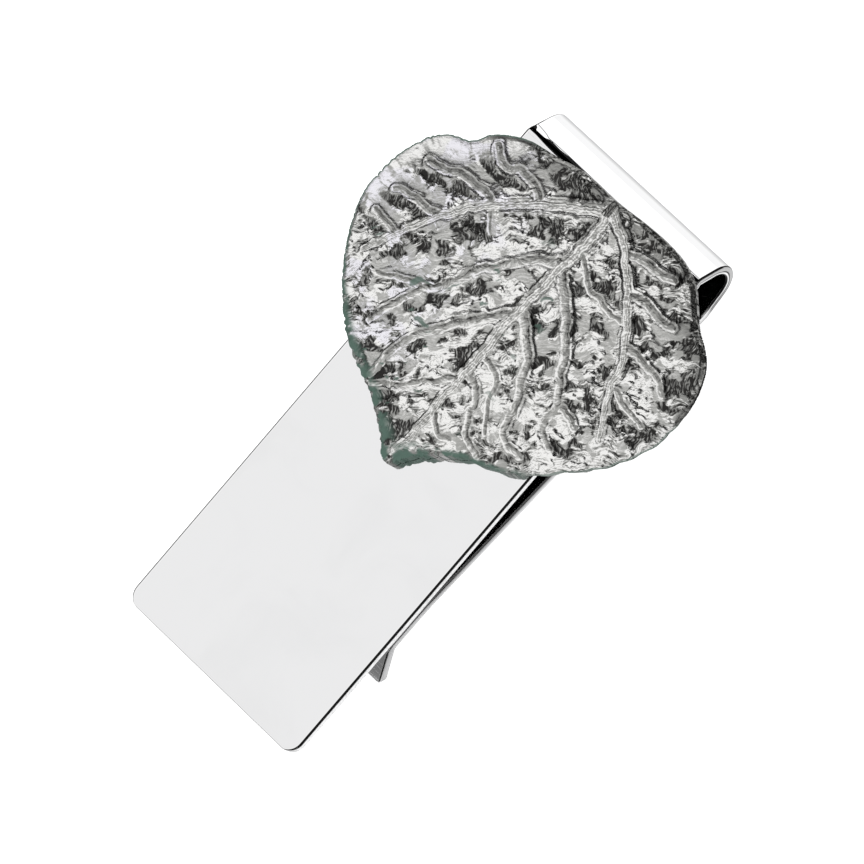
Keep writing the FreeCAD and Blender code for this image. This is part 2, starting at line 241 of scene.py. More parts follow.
class Net:
    """Adds nodes to one tree and joins their sockets."""

    def __init__(self, tree: bpy.types.NodeTree) -> None:
        """Start on an empty tree.

        Args:
            tree: The tree. A node group's own inputs and outputs are `into` and `out`.
        """
        self.tree = tree
        self.tree.nodes.clear()
        self.into = {}
        self.out = {}

    def node(self, kind: str, feeds: dict | None = None, **settings: object) -> bpy.types.Node:
        """Add a node.

        Args:
            kind: The node's type name.
            feeds: Values or terms by input name or index.
            **settings: Properties of the node itself.

        Returns:
            The new node.
        """
        made = self.tree.nodes.new(kind)
        for name, value in settings.items():
            setattr(made, name, value)
        for key, value in (feeds or {}).items():
            self.feed(made.inputs[key], value)
        return made

    def outputs(self, kind: str, feeds: dict | None = None, **settings: object) -> dict:
        """Add a node and give all its outputs by name."""
        made = self.node(kind, feeds, **settings)
        return {socket.name: Term(self, socket) for socket in made.outputs}

    def read(self, kind: str, feeds: dict | None = None, output: int | str = 0,
             **settings: object) -> Term:
        """Add a node and give one of its outputs, the first unless told otherwise."""
        return Term(self, self.node(kind, feeds, **settings).outputs[output])

    def feed(self, socket: bpy.types.NodeSocket, value: object) -> None:
        """Give an input a value, or join it to a term.

        Args:
            socket: The input.
            value: A plain value, or a term.
        """
        if isinstance(value, Term):
            self.tree.links.new(value.socket, socket)
        else:
            socket.default_value = value

    def math(self, operation: str, *terms: "Term | float") -> Term:
        """Add a Math node over the terms."""
        return self.read("ShaderNodeMath", dict(enumerate(terms)), operation=operation)

    def vector(self, operation: str, *terms: "Term | tuple") -> Term:
        """Add a Vector Math node over the terms."""
        return self.read("ShaderNodeVectorMath", dict(enumerate(terms)), operation=operation)

    def combine(self, x: "Term | float" = 0.0, y: "Term | float" = 0.0,
                z: "Term | float" = 0.0) -> Term:
        """Make a vector of three numbers."""
        return self.read("ShaderNodeCombineXYZ", {0: x, 1: y, 2: z})

    def object_place(self) -> Term:
        """Give Object coordinates, in a material."""
        return self.read("ShaderNodeTexCoord", output="Object")

    def attribute(self, name: str, output: str = "Fac") -> Term:
        """Read a named attribute of the surface, in a material."""
        return self.read("ShaderNodeAttribute", output=output, attribute_name=name)

    def position(self) -> Term:
        """Give the place of a point, in a geometry tree."""
        return self.read("GeometryNodeInputPosition")

    def drawn(self, name: str) -> Term:
        """Give the geometry of the object that an input names."""
        return self.read("GeometryNodeObjectInfo", {"Object": self.into[name]}, "Geometry")

    def capture(self, geometry: Term, values: dict[str, Term]) -> dict[str, Term]:
        """Keep values on the points of a geometry before it changes.

        Args:
            geometry: The geometry.
            values: The values to keep, by name.

        Returns:
            The kept values by name, and the geometry as "Geometry".
        """
        keep = self.node("GeometryNodeCaptureAttribute", domain="POINT")
        for name, value in values.items():
            keep.capture_items.new("VECTOR" if value.is_vector else "FLOAT", name)
        for name, value in {"Geometry": geometry, **values}.items():
            self.feed(keep.inputs[name], value)
        return {socket.name: Term(self, socket) for socket in keep.outputs}

    def store(self, geometry: Term, name: str, value: Term) -> Term:
        """Store a value on the points of a geometry, for a material to read by name.

        Args:
            geometry: The geometry.
            name: Name of the attribute.
            value: What it holds.

        Returns:
            The geometry with the attribute on it.
        """
        return self.read(
            "GeometryNodeStoreNamedAttribute",
            {"Geometry": geometry, "Name": name, "Value": value},
            data_type="FLOAT_VECTOR" if value.is_vector else "FLOAT", domain="POINT",
        )

    def end(self, geometry: Term) -> None:
        """End a geometry tree: realize its instances and set its material.

        Args:
            geometry: What the tree has made.
        """
        solid = self.read("GeometryNodeRealizeInstances", {"Geometry": geometry})
        feeds = {"Geometry": solid, "Material": self.into["Material"]}
        self.feed(self.out["Geometry"], self.read("GeometryNodeSetMaterial", feeds))


@dataclass(frozen=True)
class Inlet:
    """One named socket of a node group."""

    name: str
    kind: str = "NodeSocketFloat"
    value: float | None = None


def make_group(name: str, kind: str, inlets: list[Inlet], outlets: list[Inlet]) -> Net:
    """Make a node group with its sockets.

    Args:
        name: Name of the group.
        kind: Tree type of the group.
        inlets: Inputs in order, with their default values.
        outlets: Outputs in order.

    Returns:
        The net over the group, with its input and output nodes in it.
    """
    tree = bpy.data.node_groups.new(name, kind)
    for inlet in inlets:
        socket = tree.interface.new_socket(inlet.name, in_out="INPUT", socket_type=inlet.kind)
        if inlet.value is not None:
            socket.default_value = inlet.value
    for outlet in outlets:
        tree.interface.new_socket(outlet.name, in_out="OUTPUT", socket_type=outlet.kind)
    net = Net(tree)
    net.into = net.outputs("NodeGroupInput")
    net.out = net.node("NodeGroupOutput").inputs
    return net


def new_material(name: str) -> tuple[bpy.types.Material, Net]:
    """Make an empty material and the net over its nodes.

    Args:
        name: Name of the material.

    Returns:
        The material and its net.
    """
    made = bpy.data.materials.new(name)
    made.use_nodes = True
    return made, Net(made.node_tree)


def surface(net: Net, shader: Term) -> None:
    """End a material's net on a shader."""
    net.node("ShaderNodeOutputMaterial", {"Surface": shader})


def grow(name: str, tree: bpy.types.NodeTree, settings: dict) -> bpy.types.Mesh:
    """Run a geometry tree on an empty mesh and keep the result as a plain mesh.

    Args:
        name: Name of the new mesh.
        tree: The geometry tree.
        settings: Values by input name.

    Returns:
        The evaluated mesh.
    """
    holder = bpy.data.objects.new(name + "_seed", bpy.data.meshes.new(name + "_seed"))
    bpy.context.scene.collection.objects.link(holder)
    modifier = holder.modifiers.new("grow", "NODES")
    modifier.node_group = tree
    for item in tree.interface.items_tree:
        if item.item_type == "SOCKET" and item.in_out == "INPUT" and item.name in settings:
            modifier[item.identifier] = settings[item.name]
    bpy.context.view_layer.update()
    graph = bpy.context.evaluated_depsgraph_get()
    mesh = bpy.data.meshes.new_from_object(
        holder.evaluated_get(graph), preserve_all_data_layers=True, depsgraph=graph
    )
    mesh.name = name
    holder.modifiers.clear()
    bpy.data.objects.remove(holder)
    return mesh


def add_piece(name: str, mesh: bpy.types.Mesh, material: bpy.types.Material) -> bpy.types.Object:
    """Put a mesh in the scene as a piece with one material.

    Args:
        name: Name of the piece.
        mesh: Its finished mesh.
        material: Its material.

    Returns:
        The piece.
    """
    piece = bpy.data.objects.new(name, mesh)
    bpy.context.scene.collection.objects.link(piece)
    mesh.materials.clear()
    mesh.materials.append(material)
    return piece


def curve_object(name: str, runs: list, smooth: bool, closed: bool = False) -> bpy.types.Object:
    """Make a curve from runs of points.

    Args:
        name: Name of the curve.
        runs: Lists of (point, radius), one for each spline.
        smooth: Whether the curve rounds its points.
        closed: Whether each spline closes on itself.

    Returns:
        The curve object, linked to the scene.
    """
    data = bpy.data.curves.new(name, "CURVE")
    data.dimensions = "3D"
    data.resolution_u = 16
    for run in runs:
        spline = data.splines.new("BEZIER" if smooth else "POLY")
        points = spline.bezier_points if smooth else spline.points
        points.add(len(run) - 1)
        for point, (place, radius) in zip(points, run):
            point.co = place if smooth else (*place, 1)
            point.radius = radius
            if smooth:
                point.handle_left_type = "AUTO"
                point.handle_right_type = "AUTO"
        spline.use_cyclic_u = closed
    made = bpy.data.objects.new(name, data)
    bpy.context.scene.collection.objects.link(made)
    return made


def remove_objects(objects: list[bpy.types.Object]) -> None:
    """Take helper objects out of the file."""
    for made in objects:
        bpy.data.objects.remove(made)


# ---------------------------------------------------------------------------
# The shader group that more than one finish uses


def handling_marks_group() -> bpy.types.NodeTree:
    """Build the group for fine scratches, finger smudges and the bump they give.

    Returns:
        The shader group.
    """
    net = make_group(
        "handling_marks",
        "ShaderNodeTree",
        [
            Inlet("Vector", "NodeSocketVector"),
            Inlet("Scratch Scale", value=900.0),
            Inlet("Smudge Scale", value=180.0),
            Inlet("Scratch Depth", value=0.1),
            Inlet("Height", value=0.0),
        ],
        [Inlet("Scratches"), Inlet("Smudges"), Inlet("Normal", "NodeSocketVector")],
    )
    place, scale = net.into["Vector"], net.into["Scratch Scale"]
    scratches = None
    for turn, stretch in ((0.5, 0.05), (-0.9, 0.04), (1.45, 0.06)):
        turned = net.read(
            "ShaderNodeMapping",
            {"Vector": place, "Rotation": (0, 0, turn), "Scale": (stretch, 1, 1)},
        )
        thin = abs(turned.noise(scale, 1.0, 0.4) - 0.5).remap(0.0, 0.012, 1, 0)
        line = thin * turned.noise(scale * 0.11, 1.0).remap(0.5, 0.68)
        scratches = line if scratches is None else scratches.most(line)
    smudges = place.noise(net.into["Smudge Scale"], 4.0, 0.55, 0.6).remap(0.45, 0.72)
    level = net.into["Height"] + scratches * (net.into["Scratch Depth"] * -1.0)
    bump = net.read("ShaderNodeBump", {"Strength": 1.0, "Distance": 2e-6, "Height": level})
    for name, value in (("Scratches", scratches), ("Smudges", smudges), ("Normal", bump)):
        net.feed(net.out[name], value)
    return net.tree


# ---------------------------------------------------------------------------
# Finishes


@dataclass(frozen=True)
class PolishedStrip:
    """Mirror-polished plated steel with the marks of handling, and with painted light and shade.

    The painted shade is dark reflections along the rounded edges, shade down the arm's side
    and in the roll's mouth, and a dark wedge in the crease; a painted highlight runs beside
    the edges. The painted lines over an edge are measured in roundings, the radius of the
    strip's tumbled edge: `beyond` is how far a spot lies past the start of the rounding, and
    `inwards` is how deep it lies under the outer face. The arm, nose, mouth and lip are given
    by their places along the clip, and the arm's top by its height. The profiles of the painted
    wedge in the fold run across the clip from its left side, over `fold_reach`, and rise with
    the crease's bend.
    """

    color: tuple = (0.83, 0.83, 0.835, 1)
    worn_color: tuple = (0.79, 0.79, 0.795, 1)
    # colour of the painted highlight beside the rounded edges
    painted_glint_color: tuple = (0.93, 0.93, 0.93, 1)
    # colour of the painted shade and painted dark reflections
    painted_shade_color: tuple = (0.012, 0.012, 0.012, 1)
    roughness: float = 0.035
    smudged: float = 0.075
    cut_roughness: float = 0.45
    arm_top: float = 5.95 * MM
    arm_end: float = 26 * MM
    nose_start: float = 26.8 * MM
    nose_end: float = 30.5 * MM
    mouth: tuple = (-15 * MM, -10 * MM)
    lip: tuple = (-17 * MM, -17.6 * MM)
    fold_reach: float = 6 * MM
    fold_starts: tuple = ((0.0, 0.26), (0.2, 0.24), (0.39, 0.17), (0.7, 0.12), (1.0, 0.14))
    fold_ends: tuple = ((0.0, 0.85), (0.085, 0.68), (0.125, 0.5), (0.24, 0.48), (0.34, 0.56),
                        (0.4, 0.66), (0.68, 0.65), (0.85, 0.7), (1.0, 0.7))
    fold_line: tuple = ((0.0, 0.92), (0.09, 0.886), (0.27, 0.8), (0.38, 0.7), (0.5, 0.715),
                        (1.0, 0.715))

    def material(self, marks: bpy.types.NodeTree, strip: "SpringStrip") -> bpy.types.Material:
        """Build the strip's material.

        Args:
            marks: The group for handling marks.
            strip: The strip that it goes on.

        Returns:
            The material.
        """
        made, net = new_material("polished_strip")
        place = net.object_place()
        handled = net.outputs("ShaderNodeGroup", {
            "Vector": place, "Scratch Scale": 1500.0, "Smudge Scale": 120.0,
            "Scratch Depth": 0.35, "Height": place.noise(140.0, 1.0, 0.4) * 0.6,
        }, node_tree=marks)
        smudges = handled["Smudges"]
        x, y, z = place.split()
        across, depth, _ = net.attribute("section", "Vector").split()
        beyond = (abs(across) - (strip.width / 2 - strip.edge_round)) / strip.edge_round
        inwards = (strip.gauge / 2 + depth) / strip.edge_round
        on_arm = (z.remap(self.arm_top, self.arm_top - 0.05 * MM)
                  * y.remap(self.arm_end, self.arm_end - MM))
        lines = net.combine(x * 0.2, y, z).noise(4200.0, 2.0, 0.6).remap(0.3, 0.7, 0.08, 0.3)
        rough = smudges.remap(0, 1, self.roughness, self.smudged, False)
        rough = beyond.remap(0.8, 0.98).mix(rough, on_arm.mix(lines, self.cut_roughness))

        tint = (smudges * 0.5).mix_color(self.color, self.worn_color)
        # painted highlight: a thin bright line on the flat just before each edge's rounding
        painted_glint = beyond.remap(-0.5, -0.3) * beyond.remap(-0.1, 0.1, 1, 0)
        tint = painted_glint.mix_color(tint, self.painted_glint_color)
        # painted shade and painted dark reflections on the edges, the arm's side, the roll's mouth and
        # the crease, mixed over the tint
        dark = self.painted_edge_shade(net, x, y, beyond, inwards, strip.gauge / strip.edge_round, on_arm)
        dark = dark.most(self.painted_fold_shade(strip, x, y, inwards))
        tint = dark.mix_color(tint, self.painted_shade_color)
        surface(net, net.read(
            "ShaderNodeBsdfPrincipled",
            {"Base Color": tint, "Roughness": rough, "Metallic": 1.0, "Normal": handled["Normal"]},
        ))
        return made

    def painted_edge_shade(self, net: Net, x: Term, y: Term, beyond: Term, inwards: Term,
                   whole: float, on_arm: Term) -> Term:
        """Work out the painted dark reflections along the rounded edges and the painted shade down
        the arm's side and in the roll's mouth.

        Args:
            net: The material's net.
            x: Place across the clip.
            y: Place along the clip.
            beyond: How far past the start of an edge's rounding.
            inwards: Depth under the outer face.
            whole: The sheet's thickness, in roundings.
            on_arm: Where the arm is.

        Returns:
            How much painted shade each spot takes, from 0 to 1.
        """
        right = x.remap(-MM, MM)
        nose = (y.remap(self.nose_start, self.nose_start + 0.6 * MM)
                * y.remap(self.nose_end - 0.5 * MM, self.nose_end, 1, 0))
        strength = right.mix(nose.remap(0, 1, 0.62, 1), 1.0)
        # painted dark reflection: a dark line along each edge's outer rounding, full on the right side
        # and at the nose, weaker elsewhere
        outer = beyond.remap(-0.12, 0.08) * inwards.remap(0.25, 0.48, 1, 0) * strength

        on_lip = y.remap(*self.lip)
        hidden = y.remap(*self.mouth, 0.3, 1).most(on_lip)
        # painted shade on the arm: a dark line along its edge, and shade that fades down its side face,
        # fainter on the lip
        arm_edge = beyond.remap(0.1, 0.3) * inwards.remap(0.2, 0.5, 1, 0)
        arm_side = beyond.remap(0.9, 0.99) * inwards.remap(
            0.8, 3.4, on_lip.mix(0.5, 0.3), on_lip.mix(0.0, 0.12), False)
        arm = (arm_edge * 0.8).most(arm_side) * hidden

        # painted shade in the roll's mouth: a dark band on the right side face near the inner face, and
        # a ragged second band
        rolled = right * y.remap(self.nose_start - 0.3 * MM, self.nose_start + 0.7 * MM)
        patchy = net.combine(y, inwards * (0.1 * MM)).noise(1300.0, 1.0)
        under = (whole - inwards) + patchy.centred(1.2)
        second = under.remap(1.8, 2.0) * under.remap(2.3, 2.6, 1.0, 0.45)
        inner = under.remap(0.9, 1.1, 1, 0).most(second) * rolled * beyond.remap(0.1, 0.3)
        return on_arm.mix(outer, arm).most(inner)

    def painted_fold_shade(self, strip: "SpringStrip", x: Term, y: Term, inwards: Term) -> Term:
        """Work out the painted dark reflection in the crease: a wedge and a thin line, which leave a
        bright lens at its left end.

        Args:
            strip: The strip that it goes on.
            x: Place across the clip.
            y: Place along the clip.
            inwards: Depth under the outer face.

        Returns:
            How much painted dark each spot takes, from 0 to 1.
        """
        bend = (y - strip.crease) / strip.crease_radius
        from_left = x + (strip.width / 2 - 0.1 * MM)
        start, end, line = (from_left.profile(drawn, self.fold_reach)
                            for drawn in (self.fold_starts, self.fold_ends, self.fold_line))
        wedge = (bend > start) * (bend < end)
        wedge = wedge.most(abs(bend - line).remap(0.012, 0.03, 1, 0))
        return wedge * (inwards < 1.0)


@dataclass(frozen=True)
class CastLeaf:
    """Bright cast metal, rubbed back on its high places and dark in its hollows, with painted light
    and shade on the two sides of its veins.

    The three profiles are the tones across a vein, from its middle line to `vein_reach` in
    half widths: a channelled main vein, and a vein's lit side with a painted highlight line and
    its shaded side with a painted shade strip. A `_stretch` says how many marks lie in a
    millimetre along and across the strokes.
    """

    bright: tuple = (0.88, 0.875, 0.86, 1)
    cool: tuple = (0.86, 0.85, 0.9, 1)
    middle: tuple = (0.38, 0.38, 0.365, 1)
    hollow: tuple = (0.03, 0.029, 0.028, 1)
    patina: tuple = (0.085, 0.15, 0.12, 1)
    roughness: float = 0.2
    hollow_roughness: float = 0.12
    patina_roughness: float = 0.55
    hatch_stretch: tuple = (1.4, 5.0, 1.0)
    cross_stretch: tuple = (5.5, 1.8, 1.0)
    curl_stretch: tuple = (1.3, 2.9, 1.0)
    vein_edge: tuple = (0.52, 0.72)
    band_tone: float = 0.56
    vein_reach: float = 2.0
    main_lines: tuple = ((0.0, 0.9), (0.035, 0.8), (0.07, 0.4), (0.11, 0.5), (0.145, 0.95),
                         (0.18, 0.9), (0.215, 0.35), (0.26, 0.6), (0.3, 1.0), (0.34, 0.85),
                         (0.38, 0.25), (0.45, 0.55), (1.0, 0.58))
    # painted light and shade across a vein: a painted highlight line on the lit side, a painted shade
    # strip on the shaded side
    lit_lines: tuple = ((0.0, 0.5), (0.14, 0.52), (0.2, 0.95), (0.27, 1.0), (0.32, 0.5),
                        (0.36, 0.36), (0.42, 0.55), (1.0, 0.58))
    shaded_lines: tuple = ((0.0, 0.5), (0.03, 0.42), (0.07, 0.2), (0.22, 0.12), (0.32, 0.2),
                           (0.38, 0.5), (1.0, 0.58))

    def material(self, marks: bpy.types.NodeTree) -> bpy.types.Material:
        """Build the leaf's material.

        Args:
            marks: The group for handling marks.

        Returns:
            The material.
        """
        made, net = new_material("cast_leaf")
        place = net.object_place()
        green = net.attribute("patina")
        grit = place.noise(5200.0, 2.0, 0.6)
        # the wear carries the painted light and shade on the veins' sides
        worn, hatch = self.wear(net, place)
        handled = net.outputs("ShaderNodeGroup", {
            "Vector": place, "Scratch Scale": 2200.0, "Smudge Scale": 420.0,
            "Scratch Depth": 2.0, "Height": hatch * 9.0 + grit * 3.0,
        }, node_tree=marks)
        cloud = (place.noise(330.0, 1.0).remap(0.46, 0.54)
                 * place.split()[0].remap(-2 * MM, -9 * MM))
        low = worn.remap(0.0, 0.5, smooth=False).mix_color(self.hollow, self.middle)
        high = cloud.mix_color(self.bright, self.cool)
        tint = worn.remap(0.5, 0.95).mix_color(low, high)
        rough = worn.remap(0.1, 0.9, self.hollow_roughness, 0.0, False) + self.roughness
        surface(net, net.read(
            "ShaderNodeBsdfPrincipled",
            {"Base Color": green.mix_color(tint, self.patina),
             "Roughness": green.mix(rough, self.patina_roughness),
             "Metallic": 1.0 - green * 0.7,
             "Normal": handled["Normal"]},
        ))
        return made

    def wear(self, net: Net, place: Term) -> tuple:
        """Work out how rubbed each spot is, from black hollow to bright high place, with the painted
        light and shade on the veins' sides.

        Args:
            net: The material's net.
            place: Object coordinates.

        Returns:
            The wear from 0 to 1, and the fine hatching that also gives the bump.
        """
        jitter = place.noise(2600.0, 2.0).centred(0.3)
        share = net.attribute("vein_share") + jitter
        lean = net.attribute("lean", "Vector")
        hatch = lean.times(self.hatch_stretch).noise(1.0, 2.0, 0.6, 0.5)
        between, swing = self.field_wear(net, lean, hatch)
        band = self.vein_wear_and_painted_light(net, place, share, jitter, swing)
        return share.remap(*self.vein_edge).mix(band, between), hatch

    def field_wear(self, net: Net, lean: Term, hatch: Term) -> tuple:
        """Work out the wear between the veins.

        Args:
            net: The material's net.
            lean: Place along and across the strokes.
            hatch: Fine hatching along the strokes.

        Returns:
            The wear, and its swing with the hatching.
        """
        tone, lively = net.attribute("tone"), net.attribute("lively")
        cross = lean.times(self.cross_stretch).noise(1.0, 2.0, 0.6)
        curls = lean.times(self.curl_stretch).noise(1.0, 3.0, 0.65, 0.8)
        cracks = abs(curls - 0.5).remap(0.0, 0.034, 1.0, 0.0) * hatch.remap(0.34, 0.46)
        swing = tone.remap(0.45, 0.15).mix((hatch - 0.51) * 3.4, (cross - 0.49) * 2.7)
        wear = tone + swing * lively
        return wear - cracks * lively * tone.remap(0.4, 0.8, 0.1, 0.8), swing

    def vein_wear_and_painted_light(self, net: Net, place: Term, share: Term, jitter: Term, swing: Term) -> Term:
        """Work out the wear on the veins, whose rims are bright and whose channels are dull, and the
        painted light and shade on their two sides, strongest on the lesser veins.

        Args:
            net: The material's net.
            place: Object coordinates.
            share: Distance from the vein's middle line, in half widths.
            jitter: Small noise that makes the lines ragged.
            swing: Swing of the wear with the hatching.

        Returns:
            The wear.
        """
        rank = net.attribute("vein_rank")
        # painted light and shade: the lit profile on a vein's side towards -Y, the shaded profile on
        # its side towards +Y
        shaded = (net.attribute("vein_facing") + jitter).remap(-0.12, 0.12)
        main, lit, dim = (share.profile(drawn, self.vein_reach)
                          for drawn in (self.main_lines, self.lit_lines, self.shaded_lines))
        band = rank.remap(0.0, 1.0, 0.4, 0.86).mix(main + 0.03, shaded.mix(lit, dim))
        broken = abs(rank - 1.0).remap(0.0, 1.0, 0.7, 0.8)
        whole = place.noise(800.0, 2.0).remap(0.42, 0.54, broken, 1.2)
        band = self.band_tone + (band - 0.5) * whole
        strands = net.combine(share * 11.0, rank * 3.0, place.noise(900.0, 1.0))
        band = band + (strands.noise(1.0, 2.0, 0.6) - 0.5) * rank.remap(0.0, 1.0, 0.9, 0.7)
        return band + swing * rank.remap(1.0, 2.0, 0.45, 0.28)


@dataclass(frozen=True)
class BondFilm:
    """Thin cured adhesive, cloudy and slightly yellow."""

    clear: tuple = (0.62, 0.58, 0.47, 1)
    cloudy: tuple = (0.74, 0.72, 0.64, 1)
    roughness: float = 0.35

    def material(self) -> bpy.types.Material:
        """Build the bond's material.

        Returns:
            The material.
        """
        made, net = new_material("bond_film")
        clouds = net.object_place().noise(700.0, 3.0, 0.6)
        tint = clouds.remap(0.35, 0.65).mix_color(self.clear, self.cloudy)
        bump = net.read("ShaderNodeBump", {"Strength": 0.4, "Distance": 2e-5, "Height": clouds})
        surface(net, net.read(
            "ShaderNodeBsdfPrincipled",
            {"Base Color": tint, "Roughness": self.roughness, "Normal": bump},
        ))
        return made


# ---------------------------------------------------------------------------
# The spring strip


@dataclass
class MidLine:
    """The middle line of a stretch of the strip, walked in runs and turns in the YZ plane.

    Attributes:
        y: Where the line has come to along the clip.
        z: How high it has come.
        heading: The way it goes, as an angle up from +Y.
        step: Largest turn between two points of an arc.
        guard: Distance from a run's ends to the extra points that keep its bends crisp.
        points: The points so far.
    """

    y: float
    z: float
    heading: float
    step: float = math.radians(1.5)
    guard: float = 0.06 * MM
    points: list = field(default_factory=list)

    def __post_init__(self) -> None:
        """Keep the starting point."""
        self.points.append(Vector((0, self.y, self.z)))

    def move(self, length: float) -> None:
        """Go straight on by a length and keep the point.

        Args:
            length: How far to go.
        """
        self.y += length * math.cos(self.heading)
        self.z += length * math.sin(self.heading)
        self.points.append(Vector((0, self.y, self.z)))

    def run(self, length: float, marks: tuple = ()) -> "MidLine":
        """Add a straight run.

        Args:
            length: How long the run is.
            marks: Distances along it that need a point of their own.

        Returns:
            The line itself.
        """
        stops = sorted({self.guard, length - self.guard, length, *marks})
        done = 0.0
        for stop in stops:
            self.move(stop - done)
            done = stop
        return self

    def turn(self, radius: float, degrees: float) -> "MidLine":
        """Add an arc.

        Args:
            radius: Its radius at the middle of the sheet.
            degrees: How far it turns, to the right if negative.

        Returns:
            The line itself.
        """
        angle = math.radians(degrees)
        count = max(2, math.ceil(abs(angle) / self.step))
        chord = 2 * radius * math.sin(abs(angle) / count / 2)
        for _ in range(count):
            self.heading += angle / count / 2
            self.move(chord)
            self.heading += angle / count / 2
        return self


